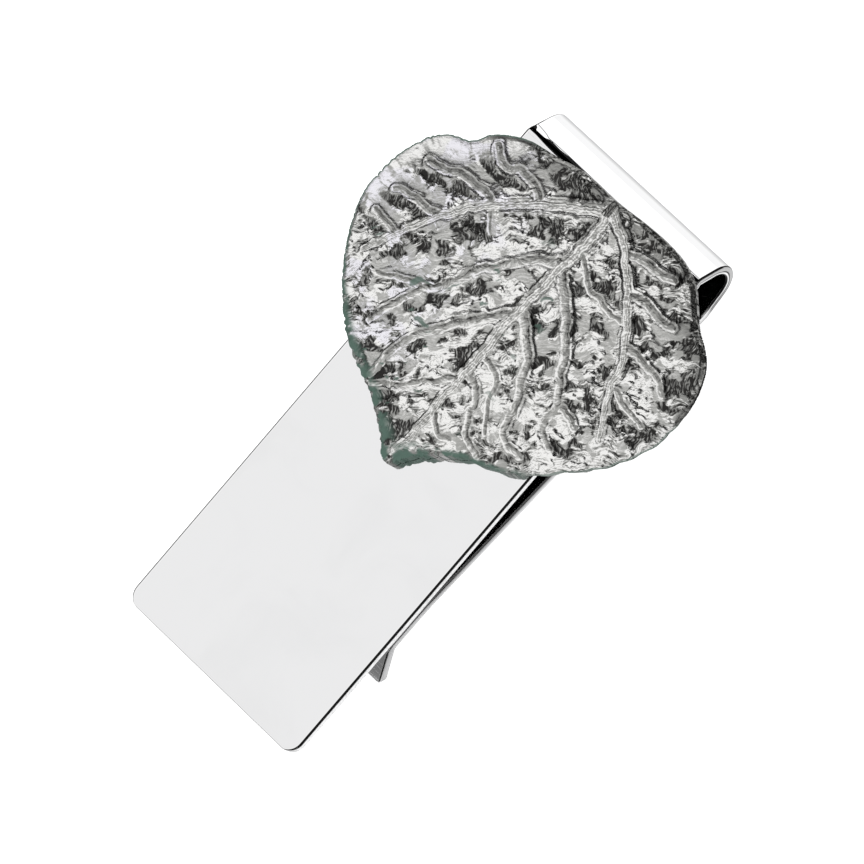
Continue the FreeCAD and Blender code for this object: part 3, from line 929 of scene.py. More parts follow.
@dataclass
class SpringStrip:
    """The strip: front plate, roll and spring arm, folded from one blank."""

    gauge: float = 1.0 * MM
    edge_round: float = 0.2 * MM
    corner_radius: float = 1.6 * MM
    crease_radius: float = 1.3 * MM
    crease_turn: float = 42.0
    nose_radius: float = 2.85 * MM
    nose_turn: float = 123.0
    back_radius: float = 9.5 * MM
    contact_radius: float = 20.0 * MM
    land_length: float = 3.4 * MM
    land_end: float = 14.65 * MM
    land_gap: float = 0.02 * MM
    lip_radius: float = 0.5 * MM
    lip_turn: float = 44.5
    lip_reach: float = 4.4 * MM
    lip_corner: float = 0.45 * MM
    roll_waist: float = 0.14 * MM
    section_guard: float = 0.05 * MM
    round_steps: int = 5
    corner_steps: int = 14
    crisp_bend: float = 50.0

    def __post_init__(self) -> None:
        """Read the outer places from the frame and work out the rest."""
        low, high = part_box("front_plate")
        self.width = high.x - low.x
        self.free_end, self.crease, self.face = low.y, high.y, high.z
        nose_exit = math.radians(self.crease_turn + self.nose_turn)
        crease = math.radians(self.crease_turn)
        drop = (self.crease_radius * (1 - math.cos(crease))
                + self.nose_radius * (math.cos(crease) - math.cos(nose_exit))
                + self.back_radius * (1 + math.cos(nose_exit)))
        self.ramp = (self.face - drop) / math.sin(crease)
        nose_y = (self.crease + self.crease_radius * math.sin(crease)
                  + self.ramp * math.cos(crease) - self.nose_radius * math.sin(crease))
        back_y = nose_y - (self.back_radius - self.nose_radius) * math.sin(nose_exit)
        land_z = self.face - self.gauge - self.land_gap - self.gauge
        bend_y = self.free_end + self.land_end + self.land_length
        across, rise = back_y - bend_y, self.back_radius + self.contact_radius - land_z
        apart = math.hypot(across, rise)
        tilt = math.asin((self.back_radius + self.contact_radius) / apart)
        self.slope = math.degrees(tilt - math.atan2(rise, across))
        self.arm_run = apart * math.cos(tilt)
        self.back_turn = 180 + self.slope - self.crease_turn - self.nose_turn

    def end_marks(self, corner: float) -> tuple:
        """Give the distances from a free end that follow its tumbled edge and plan corner.

        Args:
            corner: Radius of the plan corner.

        Returns:
            The distances, in no order.
        """
        return tuple(
            radius * (1 - math.cos(math.pi / 2 * i / count))
            for radius, count in ((self.edge_round, self.round_steps), (corner, self.corner_steps))
            for i in range(1, count + 1)
        )

    def lines(self) -> dict:
        """Walk the middle lines of the three stretches.

        Returns:
            The lines by the name of their stretch.
        """
        half = self.gauge / 2
        length = self.crease - self.free_end
        marks = tuple(length - stop for stop in self.end_marks(self.corner_radius))
        plate = MidLine(self.crease, self.face - half, math.pi).run(length, marks)
        roll = MidLine(self.crease, self.face - half, 0.0)
        roll.turn(self.crease_radius - half, -self.crease_turn).run(self.ramp)
        roll.turn(self.nose_radius - half, -self.nose_turn)
        roll.turn(self.back_radius - half, -self.back_turn)
        arm = MidLine(roll.y, roll.z, roll.heading).run(self.arm_run)
        arm.turn(self.contact_radius + half, self.slope).run(self.land_length)
        arm.turn(self.lip_radius + half, self.lip_turn)
        marks = tuple(self.lip_reach - stop for stop in self.end_marks(self.lip_corner))
        arm.run(self.lip_reach, marks)
        return {"plate": plate, "roll": roll, "arm": arm}

    def section(self) -> bpy.types.Object:
        """Draw the strip's cross-section: a bar with tumbled edges and a guard point by each.

        Returns:
            The closed curve, round the middle of the sheet.
        """
        wide, thick, radius = self.width / 2, self.gauge / 2, self.edge_round
        run = []
        for quarter, (side, face) in enumerate(((1, 1), (-1, 1), (-1, -1), (1, -1))):
            middle = Vector((side * (wide - radius), face * (thick - radius), 0))
            guards = [Vector((0, -face * self.section_guard, 0)),
                      Vector((-side * self.section_guard, 0, 0))]
            before, after = guards if quarter % 2 == 0 else reversed(guards)
            arc = [quarter * math.pi / 2 + math.pi / 2 * i / self.round_steps
                   for i in range(self.round_steps + 1)]
            spots = [middle + radius * Vector((math.cos(a), math.sin(a), 0)) for a in arc]
            run += [spots[0] + before, *spots, spots[-1] + after]
        return curve_object("strip_section", [[(spot, 1.0) for spot in run]], False, True)

    def sweep_tree(self) -> bpy.types.NodeTree:
        """Build the tree that sweeps the section along a middle line and rounds its free end.

        Returns:
            The geometry tree.
        """
        net = make_group(
            "strip_sweep",
            "GeometryNodeTree",
            [
                Inlet("Middle Line", "NodeSocketObject"),
                Inlet("Section", "NodeSocketObject"),
                Inlet("Half Width", value=self.width / 2),
                Inlet("Half Gauge", value=self.gauge / 2),
                Inlet("Corner Radius", value=0.0),
                Inlet("Edge Round", value=0.0),
                Inlet("Waist", value=0.0),
                Inlet("Material", "NodeSocketMaterial"),
            ],
            [Inlet("Geometry", "NodeSocketGeometry")],
        )
        half_width, half_gauge = net.into["Half Width"], net.into["Half Gauge"]
        place = net.position()
        marked = net.store(net.drawn("Section"), "section", place)
        spline = net.outputs("GeometryNodeSplineParameter")
        whole = net.read("GeometryNodeSplineLength")
        share = spline["Factor"]
        waist = share.remap(0.0, 0.08) * share.remap(0.8, 1.0, 1, 0)
        kept = net.capture(net.drawn("Middle Line"), {
            "Middle": place,
            "Left": (whole - spline["Length"]).most(0.0),
            "Waist": waist * net.into["Waist"],
        })
        swept = net.read(
            "GeometryNodeCurveToMesh",
            {"Curve": kept["Geometry"], "Profile Curve": marked, "Fill Caps": True},
        )
        corner = self.circle_inset(kept["Left"], net.into["Corner Radius"])
        tumbled = self.circle_inset(kept["Left"], net.into["Edge Round"])
        narrow = (half_width - (corner + kept["Waist"])) / half_width
        thin = (half_gauge - tumbled) / half_gauge
        offset = place.minus(kept["Middle"]).times(net.combine(narrow, thin, thin))
        shaped = net.read(
            "GeometryNodeSetPosition",
            {"Geometry": swept, "Position": kept["Middle"].plus(offset)},
        )
        angle = net.read("GeometryNodeInputMeshEdgeAngle", output="Unsigned Angle")
        crisp = angle > math.radians(self.crisp_bend)
        rounded = net.read("GeometryNodeSetShadeSmooth",
                           {"Geometry": shaped, "Shade Smooth": True})
        net.end(net.read(
            "GeometryNodeSetShadeSmooth",
            {"Geometry": rounded, "Shade Smooth": False, "Selection": crisp},
            domain="EDGE",
        ))
        return net.tree

    @staticmethod
    def circle_inset(left: Term, radius: Term) -> Term:
        """Give how far a rounded corner lies inside its square at a distance from its end.

        Args:
            left: Distance that is left to the end.
            radius: The corner's radius.

        Returns:
            The inset.
        """
        run = (radius - left).most(0.0)
        square = (radius * radius - run * run).most(0.0)
        return radius - left.net.math("SQRT", square)

    def build(self, material: bpy.types.Material) -> None:
        """Make the three stretches, and put the plate and the arm on their bodies.

        Args:
            material: The strip's finish.
        """
        tree = self.sweep_tree()
        section = self.section()
        lines = self.lines()
        pieces = {}
        ends = {"plate": self.corner_radius, "roll": 0.0, "arm": self.lip_corner}
        for name, line in lines.items():
            run = [[(point, 1.0) for point in line.points]]
            path = curve_object(name + "_line", run, False)
            mesh = grow(name, tree, {
                "Middle Line": path, "Section": section, "Corner Radius": ends[name],
                "Edge Round": self.edge_round if ends[name] else 0.0,
                "Waist": self.roll_waist if name == "roll" else 0.0,
                "Half Width": self.width / 2, "Half Gauge": self.gauge / 2,
                "Material": material,
            })
            self.face_out(mesh)
            pieces[name] = add_piece("strip_" + name, mesh, material)
            remove_objects([path])
            LOG.info("strip_%s: %d faces", name, len(mesh.polygons))
        remove_objects([section])
        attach(pieces["plate"], Body.FRONT.value)
        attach(pieces["arm"], Body.ARM.value)
        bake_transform(pieces["roll"])
        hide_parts("front_plate")
        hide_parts("spring_roll")
        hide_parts("spring_arm")

    @staticmethod
    def face_out(mesh: bpy.types.Mesh) -> None:
        """Turn every face of a closed mesh outwards.

        Args:
            mesh: The mesh, which is changed.
        """
        shell = bmesh.new()
        shell.from_mesh(mesh)
        bmesh.ops.recalc_face_normals(shell, faces=shell.faces)
        shell.to_mesh(mesh)
        shell.free()


# ---------------------------------------------------------------------------
# The leaf


@dataclass(frozen=True)
class Vein:
    """One vein of the leaf.

    Attributes:
        path: Points on its middle line in millimetres, across the clip and away from the base.
        root: Half width where it starts, in millimetres.
        tip: Half width where it ends, in millimetres.
    """

    path: tuple
    root: float
    tip: float


MAIN_VEINS = (
    Vein(((1, 0.9), (1.5, 2.9), (1.8, 5.6), (1.5, 8.2), (1.5, 11), (1, 15.3), (1.2, 19.7), (1.1, 22.6),
          (0.9, 25.1), (1, 28), (0.7, 30.8), (0.3, 32.6)), 0.66, 0.3),
    Vein(((0.7, 1.9), (-3.3, 4.3), (-6.3, 6.7), (-9.5, 9.5), (-12.2, 12.8), (-13.4, 14.6),
          (-14.5, 16.7), (-16.5, 20.3)), 0.58, 0.32),
    Vein(((1.6, 1.3), (3.2, 2.1), (4.6, 2.8), (6.8, 4.6), (9, 6.6), (11, 9), (12.5, 11.1),
          (13.9, 14.7), (16.2, 18.2)), 0.5, 0.34),
)
SIDE_VEINS = (
    Vein(((0.9, 8.2), (-2.2, 10.7), (-3.8, 12.5), (-5, 14.2), (-7.1, 17.7), (-8.6, 19.4),
          (-9.8, 22.3), (-10.7, 24.9)), 0.5, 0.36),
    Vein(((0.9, 14.8), (-2.1, 18.2), (-4, 20.7), (-5.9, 23.3), (-6.5, 25.5), (-6.9, 28.6)), 0.52, 0.34),
    Vein(((1.3, 22.4), (-0.4, 24.3), (-2.4, 26.1), (-4.3, 28.1), (-6.2, 29.3)), 0.36, 0.26),
    Vein(((1.6, 8.5), (3.4, 9.9), (5.4, 11.8), (6.5, 12.9), (8.1, 14.9), (9.4, 16.7), (10.4, 18.4),
          (11, 21.2), (12.9, 21.9)), 0.54, 0.36),
    Vein(((1.6, 14.1), (3.2, 15.3), (4.4, 16.5), (5.3, 17.5), (7.4, 21.7), (7.7, 23), (8.2, 24.1),
          (10.8, 24.7)), 0.54, 0.36),
    Vein(((1.7, 22.1), (2.8, 22.7), (3.7, 23.3), (4.3, 25.1), (5.1, 26.4), (7.6, 27.3)), 0.42, 0.32),
)
TWIGS = (
    Vein(((-4.6, 5.3), (-6, 4.7), (-8.4, 4.2), (-10.7, 4.9), (-12.6, 4.1)), 0.46, 0.44),
    Vein(((-8, 8.7), (-10.4, 8.2), (-13.1, 8.4), (-16, 9.4), (-17.5, 9.7)), 0.48, 0.4),
    Vein(((-12.4, 12.9), (-14.9, 13.2), (-17.2, 13.4), (-18.3, 14)), 0.44, 0.34),
    Vein(((-14.6, 17.1), (-16.5, 16.9), (-18.5, 16.5)), 0.38, 0.32),
    Vein(((-8.2, 9.2), (-6.9, 10.6)), 0.24, 0.16),
    Vein(((-8.6, 19.2), (-9.7, 19.3), (-10.8, 19.6), (-13.5, 21)), 0.36, 0.26),
    Vein(((5.4, 3.4), (6.8, 2.8), (8.9, 2.6), (9.9, 2.5), (10.7, 2.2)), 0.42, 0.44),
    Vein(((8.6, 6.1), (10, 5.6), (11, 5.6), (13.1, 5.8), (14, 5.5)), 0.44, 0.44),
    Vein(((12.2, 9.9), (13.5, 9.7), (14.7, 9.8), (16, 10), (17.9, 11.2)), 0.42, 0.3),
    Vein(((14.3, 13.6), (15.7, 14.2), (18.3, 14.6)), 0.36, 0.26),
    Vein(((2.4, 6.2), (3.4, 6.8), (5.4, 8.2), (6.5, 8.1), (8.5, 8.6), (10, 8.4)), 0.32, 0.26),
    Vein(((10.6, 18.4), (11.3, 18.4), (12.3, 18.5), (13.5, 18.9)), 0.4, 0.36),
    Vein(((1.6, 19.8), (3.7, 20.4), (5.2, 23.2), (6.6, 25.2)), 0.34, 0.26),
    Vein(((1.2, 27.1), (1.9, 27.9), (2.7, 28.3), (4.2, 28.1)), 0.36, 0.3),
)
OUTLINE = (
    (0.5, 0.15), (-3.4, 0.15), (-5.1, 0.35), (-6.7, 0.75), (-8.5, 1.1), (-10.4, 1.45), (-12.55, 2.4),
    (-14.3, 3.7),
    (-15.35, 5.3), (-17.45, 6.25), (-18.95, 7.45), (-20.05, 9.4), (-20.75, 11.8), (-20.95, 14.6),
    (-20.8, 16.5), (-19.6, 19.3), (-17.75, 22.1), (-14.85, 25.15), (-11.85, 27.45), (-8.1, 29.2),
    (-6.35, 29.75), (-4.65, 30.7), (-2.1, 32.3), (-0.3, 33.85), (0.55, 33.9), (1.2, 32.75),
    (2.4, 31.4), (4.25, 29.85), (6.4, 28.4), (8.65, 27.6), (10.95, 26.5), (12.9, 25.35),
    (15.5, 22.8), (17.75, 20.5), (19.5, 17.85), (20.7, 14.9), (20.95, 12.2), (20.8, 10.4),
    (20, 7.7), (19, 6), (17.7, 4.9), (16.05, 3.9), (14.35, 2.4), (12.65, 1), (10.55, 0.15),
    (8, -0.2), (5.3, -0.2),
)


@dataclass
class LeafSurface:
    """Works out the leaf's relief, and what its finish reads, over its plan.

    Lengths are in millimetres, but for a vein's step and wobble. `u` runs across the clip and
    `v` towards the rolled end, from the leaf's base. What belongs to one part of the leaf is
    a mask from 0 to 1. It ramps between the two places of a field that ends in `_u` or `_v`,
    or between two distances inside the rim. A `_stretch` says how many patches of a pattern
    lie in a millimetre along and across the strokes. Distances from a vein are shares of its
    half width. Tones run from 0 for black to 1 for bright.

    Attributes:
        net: The leaf's net.
        rim_line: The toothed outline.
    """

    net: Net
    rim_line: Term
    vein_heights: tuple = ((0.0, 0.7), (0.17, 0.68), (0.27, 0.76), (0.34, 0.92), (0.4, 0.84),
                           (0.52, 0.5), (0.66, 0.38), (1.0, 0.4))
    vein_reach: float = 2.2
    vein_foot: float = 0.4
    vein_spread: float = 1.7
    vein_step: float = 0.15 * MM
    vein_wobble: float = 0.9 * MM
    vein_ragged: float = 0.34
    main_band: float = 0.6
    field_start: tuple = (0.62, 1.2)
    main_rise: float = 0.56
    lesser_rise: float = 0.36
    stroke: tuple = (0.773, 0.634)
    fold_stretch: tuple = (0.62, 1.5, 1.0)
    fold_height: float = 0.9
    streak_stretch: tuple = (1.1, 3.6, 1.0)
    streak_height: float = 0.55
    crease_height: float = 0.2
    pillow_height: float = 1.0
    shade_stretch: tuple = (0.33, 0.52, 1.0)
    hollow_from: tuple = (0.52, 0.55)
    swell_from: tuple = (0.5, 0.44)
    hollow_depth: float = 0.16
    fleck_stretch: tuple = (0.42, 1.3, 1.0)
    left_u: tuple = (1.0, -3.0)
    light_u: tuple = (-9.0, -13.0)
    light_v: tuple = (-19.0, -14.0)
    worn_u: tuple = (11.0, 14.0)
    worn_v: tuple = (-10.5, -12.5)
    dark_u: tuple = (-10.0, -6.0)
    dark_v: tuple = (-20.0, -14.0)
    dull_u: tuple = (-15.5, -14.0)
    clean_u: tuple = (-6.0, -9.0)
    clean_v: tuple = (-17.5, -16.0)
    teal_u: tuple = (-8.0, -13.0)
    top_u: tuple = (-12.0, -9.0)
    right_u: tuple = (13.0, 17.0)
    tip_v: tuple = (-17.0, -25.0)
    fleck_u: tuple = (6.0, 2.0)
    fleck_v: tuple = (-4.0, -12.0)
    rim_band: tuple = (0.9, 3.0)
    rim_roll: float = 0.5
    rim_drop: float = -0.2
    rubbed_drop: float = -0.04
    stem_middle: float = 0.5
    stem_height: float = 0.2
    ray_centre_v: float = 15.0
    field_tone: float = 0.68
    swell_tone: float = 1.25
    calm_tone: float = 0.64
    stem_tone: float = 0.16
    dull_tone: float = 0.36
    worn_tone: float = 0.9
    edge_tone: float = 0.25
    off_vein: float = 2.0

    def __post_init__(self) -> None:
        """Measure the plan."""
        net = self.net
        self.place = net.position()
        local = self.place.minus(net.into["Base"]).scale(1 / MM)
        self.u, self.v, _ = local.split()
        self.seeded = local.plus(net.combine(z=net.into["Seed"]))
        wire = net.read("GeometryNodeCurveToMesh", {"Curve": self.rim_line})
        edge = net.read("GeometryNodeProximity", {0: wire}, "Distance", target_element="EDGES")
        self.inside = edge / MM
        self.share, self.half, self.facing, self.rank = self.nearest_vein()
        self.bent = self.seeded.plus(self.seeded.wander(0.36, 2.0, (3.0, 3.0, 3.0)))
        self.lean = self.stroke_frame(self.bent)
        self.folds = self.lean.times(self.fold_stretch).noise(1.0, 2.0, 0.5)
        self.light_rim, self.dark_rim, self.worn_side = self.rims()
        self.stem = (abs(self.u - self.stem_middle).remap(0.22, 0.36, 1.0, 0.0)
                     * self.v.remap(-1.5, -1.3))
        self.calm = self.calm_places()
        shade = self.shade()
        self.hollows = shade.remap(*self.hollow_from) * (1.0 - self.calm)
        self.swells = shade.remap(*self.swell_from)
        self.lively = 1.0 - (self.calm * 0.8).most(self.light_rim * 0.85)

    def vein_distance(self, source: str) -> tuple:
        """Measure how far a point is from the nearest vein of one kind.

        Args:
            source: Name of the input that holds the veins.

        Returns:
            The distance as a share of that vein's half width, the half width, and the share
            measured towards the rolled end.
        """
        net = self.net
        fine = net.read("GeometryNodeResampleCurve",
                        {"Curve": net.drawn(source), "Length": self.vein_step}, mode="LENGTH")
        wobble = self.place.wander(520.0, 1.0, (self.vein_wobble, self.vein_wobble, 0))
        bent = net.read("GeometryNodeSetPosition", {"Geometry": fine, "Offset": wobble})
        kept = net.capture(bent, {"Half": net.read("GeometryNodeInputRadius")})
        wire = net.read("GeometryNodeCurveToMesh", {"Curve": kept["Geometry"]})
        gap = net.outputs("GeometryNodeProximity", {0: wire}, target_element="EDGES")
        nearest = net.read("GeometryNodeSampleNearest", {"Geometry": wire}, domain="POINT")
        half = net.read(
            "GeometryNodeSampleIndex",
            {"Geometry": wire, "Value": kept["Half"], "Index": nearest},
            data_type="FLOAT", domain="POINT",
        ) * self.vein_spread
        ragged = self.place.noise(1300.0, 2.0).centred(self.vein_ragged)
        distance = gap["Distance"] / MM + ragged
        upwards = self.place.minus(gap["Position"]).split()[1] / MM
        return distance / half, half, upwards / half

    def nearest_vein(self) -> tuple:
        """Find the vein that rules each point, where no lesser vein breaks into a greater one.

        Returns:
            The distance as a share of its half width, the half width, the share measured
            towards the rolled end, and its rank: 0 for a main vein, 1 for a side, 2 for a twig.
        """
        share, half, facing = self.vein_distance("Main Veins")
        rank = 0.0
        for number, source in ((1.0, "Side Veins"), (2.0, "Twigs")):
            lesser_share, lesser_half, lesser_facing = self.vein_distance(source)
            nearer = (lesser_share < share) * (share > self.main_band)
            share = nearer.mix(share, lesser_share)
            half = nearer.mix(half, lesser_half)
            facing = nearer.mix(facing, lesser_facing)
            rank = nearer.mix(rank, number)
        return share, half, facing, rank

    def stroke_frame(self, place: Term) -> Term:
        """Give places along and across the strokes, which cross the leaf at a slant.

        Args:
            place: A place on the leaf.

        Returns:
            The place in the strokes' own frame.
        """
        x, y, z = place.split()
        even, steep = self.stroke
        return self.net.combine(x * even + y * steep, x * steep - y * even, z)

    def rims(self) -> tuple:
        """Give the masks of the bright rim, the dark rim and the side that handling has worn.

        Returns:
            The three masks.
        """
        band = self.inside.remap(*self.rim_band, 1.0, 0.0)
        light = band * (self.u.remap(*self.light_u) * self.v.remap(*self.light_v))
        worn_side = self.u.remap(*self.worn_u) * self.v.remap(*self.worn_v)
        dark = band * self.u.remap(*self.dark_u) * self.v.remap(*self.dark_v, 0.35, 1.0)
        return light, dark * (1.0 - worn_side), worn_side

    def near_twigs(self) -> Term:
        """Give the mask of the twigs near the leaf's left half."""
        return self.rank.remap(1.2, 1.8) * self.u.remap(*self.left_u)

    def calm_places(self) -> Term:
        """Give the mask of the flat grey places between the strokes and beside the veins.

        Returns:
            The mask.
        """
        patches = self.seeded.plus((31, 7, 3)).noise(0.62, 1.0).remap(0.58, 0.61)
        flank = (self.share.remap(0.75, 1.3, 0.8, 0.0)
                 * self.seeded.noise(0.5, 1.0).remap(0.45, 0.55))
        beside = self.facing.remap(0.4, 0.6) * self.facing.remap(2.6, 2.2)
        beside = beside * self.near_twigs() * self.share.remap(3.0, 2.6)
        return patches.most(flank).most(beside)

    def shade(self) -> Term:
        """Give the slow noise that says where hollows and swells lie, leant to its places, with
        painted shade and light by the left half's twigs: more dark hollows on their side towards
        -Y, and more bright swells on their side towards +Y.

        Returns:
            The noise: hollows lie where it is high, and swells where it is low.
        """
        u, twig = self.u, self.near_twigs()
        # painted shade and light: more dark hollows beside the twigs towards -Y, more bright swells
        # towards +Y
        under = self.facing.remap(-0.5, -0.7) * self.facing.remap(-3.0, -1.8)
        over = self.facing.remap(0.5, 0.7) * self.facing.remap(3.0, 1.8)
        painted_shade_lean = under * twig.mix(0.05, 0.15) - over * twig.mix(0.04, 0.07)
        shade = self.lean.times(self.shade_stretch).noise(1.0, 3.0, 0.55)
        shade = shade + painted_shade_lean * u.remap(*self.left_u)
        top = self.inside.remap(3.2, 2.0) * u.remap(0.0, -2.0, 0.0, 0.14) * u.remap(*self.top_u)
        right = u.remap(*self.right_u, 0.0, 0.03)
        tip = self.v.remap(*self.tip_v, 0.0, 0.03)
        return shade + (top + right - tip)

    def relief(self, ceiling: float) -> Term:
        """Work out the height over the dome.

        Args:
            ceiling: The height that nothing passes.

        Returns:
            The height.
        """
        level = self.share.profile(self.vein_heights, self.vein_reach) - self.vein_foot
        rise = self.rank.remap(0.0, 1.0, self.main_rise, self.lesser_rise)
        vein = level * (self.half * rise)
        streaks = self.lean.times(self.streak_stretch).noise(1.0, 2.0, 0.6)
        creases = self.bent.noise(1.7, 3.0, 0.55)
        pillows = self.seeded.noise(0.3, 1.0, 0.4)
        fine = self.folds.centred(self.fold_height) + streaks.centred(self.streak_height)
        fine = (fine + creases.centred(self.crease_height)) * self.lively
        crumple = fine + pillows.centred(self.pillow_height) - self.hollows * self.hollow_depth
        on_vein = self.rank.remap(0.0, 1.0, 0.12, 0.42)
        body = crumple * self.share.remap(*self.field_start).mix(on_vein, 1.0)
        body = body * self.light_rim.mix(1.0, 0.45)
        body = body.most(self.stem * self.stem_height)
        rolled = (self.inside.remap(0.0, self.rim_roll, 1.0, 0.0)
                  * self.light_rim.most(self.worn_side).mix(self.rim_drop, self.rubbed_drop))
        return (vein + body + rolled).least(ceiling)

    def tone(self) -> Term:
        """Work out how bright the metal is before its hatching.

        Returns:
            The tone, from 0 for black to 1 for bright.
        """
        inside, worn_side = self.inside, self.worn_side
        tone = self.swells.mix(self.field_tone, self.swell_tone) + self.folds.centred(1.6)
        tone = self.hollows.mix(tone, self.folds.centred(0.5))
        tone = self.calm.mix(tone, self.calm_tone)
        turn = self.net.math("ARCTAN2", self.v + self.ray_centre_v, self.u)
        rays = self.net.combine(turn * 44.0, inside * 0.4).noise(1.0, 2.0, 0.6)
        tone = (self.light_rim * 0.9).mix(tone, 1.02 - rays.remap(0.5, 0.66, 0.0, 0.45))
        tone = tone * self.dark_rim.mix(1.0, 0.55)
        tone = self.stem.mix(tone, self.stem_tone)
        dull = inside.remap(0.35, 0.6, 1.0, 0.0) * self.u.remap(*self.dull_u)
        tone = (dull * (1.0 - worn_side)).mix(tone, self.dull_tone)
        tone = (worn_side * inside.remap(1.0, 0.3, 0.0, 0.8)).mix(tone, self.worn_tone)
        edge_tone = worn_side.mix(self.edge_tone, self.worn_tone)
        return inside.remap(0.06, 0.2, 1.0, 0.0).mix(tone, edge_tone)

    def patina(self) -> Term:
        """Work out where the green patina lies: about the tip, at the very edge and in flecks.

        Returns:
            The patina, from 0 to 1.
        """
        u, v, inside = self.u, self.v, self.inside
        lower = u * -0.25 + v * -1.0
        depth = inside / lower.remap(25.0, 33.0, 0.55, 2.2)
        near_rim = depth.remap(0.2, 1.0, 1.0, 0.0) * lower.remap(19.0, 26.0)
        outermost = (inside.remap(0.1, 0.22, 1.0, 0.0)
                     * u.remap(*self.teal_u).most(self.worn_side * 0.75))
        flecks = self.lean.times(self.fleck_stretch).noise(1.0, 1.0).remap(0.715, 0.73)
        spots = flecks * v.remap(*self.fleck_v, 0.0, 0.8) * u.remap(*self.fleck_u)
        spots = spots * (1.0 - u.remap(*self.clean_u) * v.remap(*self.clean_v))
        blotch = self.seeded.noise(0.8, 3.0).remap(0.4, 0.52)
        return (near_rim * blotch).most(spots.most(outermost))

    def marks(self) -> dict[str, Term]:
        """Give what the finish reads from the surface, by attribute name.

        Returns:
            The terms by attribute name.
        """
        return {
            "tone": self.tone(),
            "patina": self.patina(),
            "lively": self.lively,
            "vein_share": self.stem.mix(self.share, self.off_vein),
            "vein_rank": self.rank,
            "vein_facing": self.facing,
            "lean": self.lean,
        }


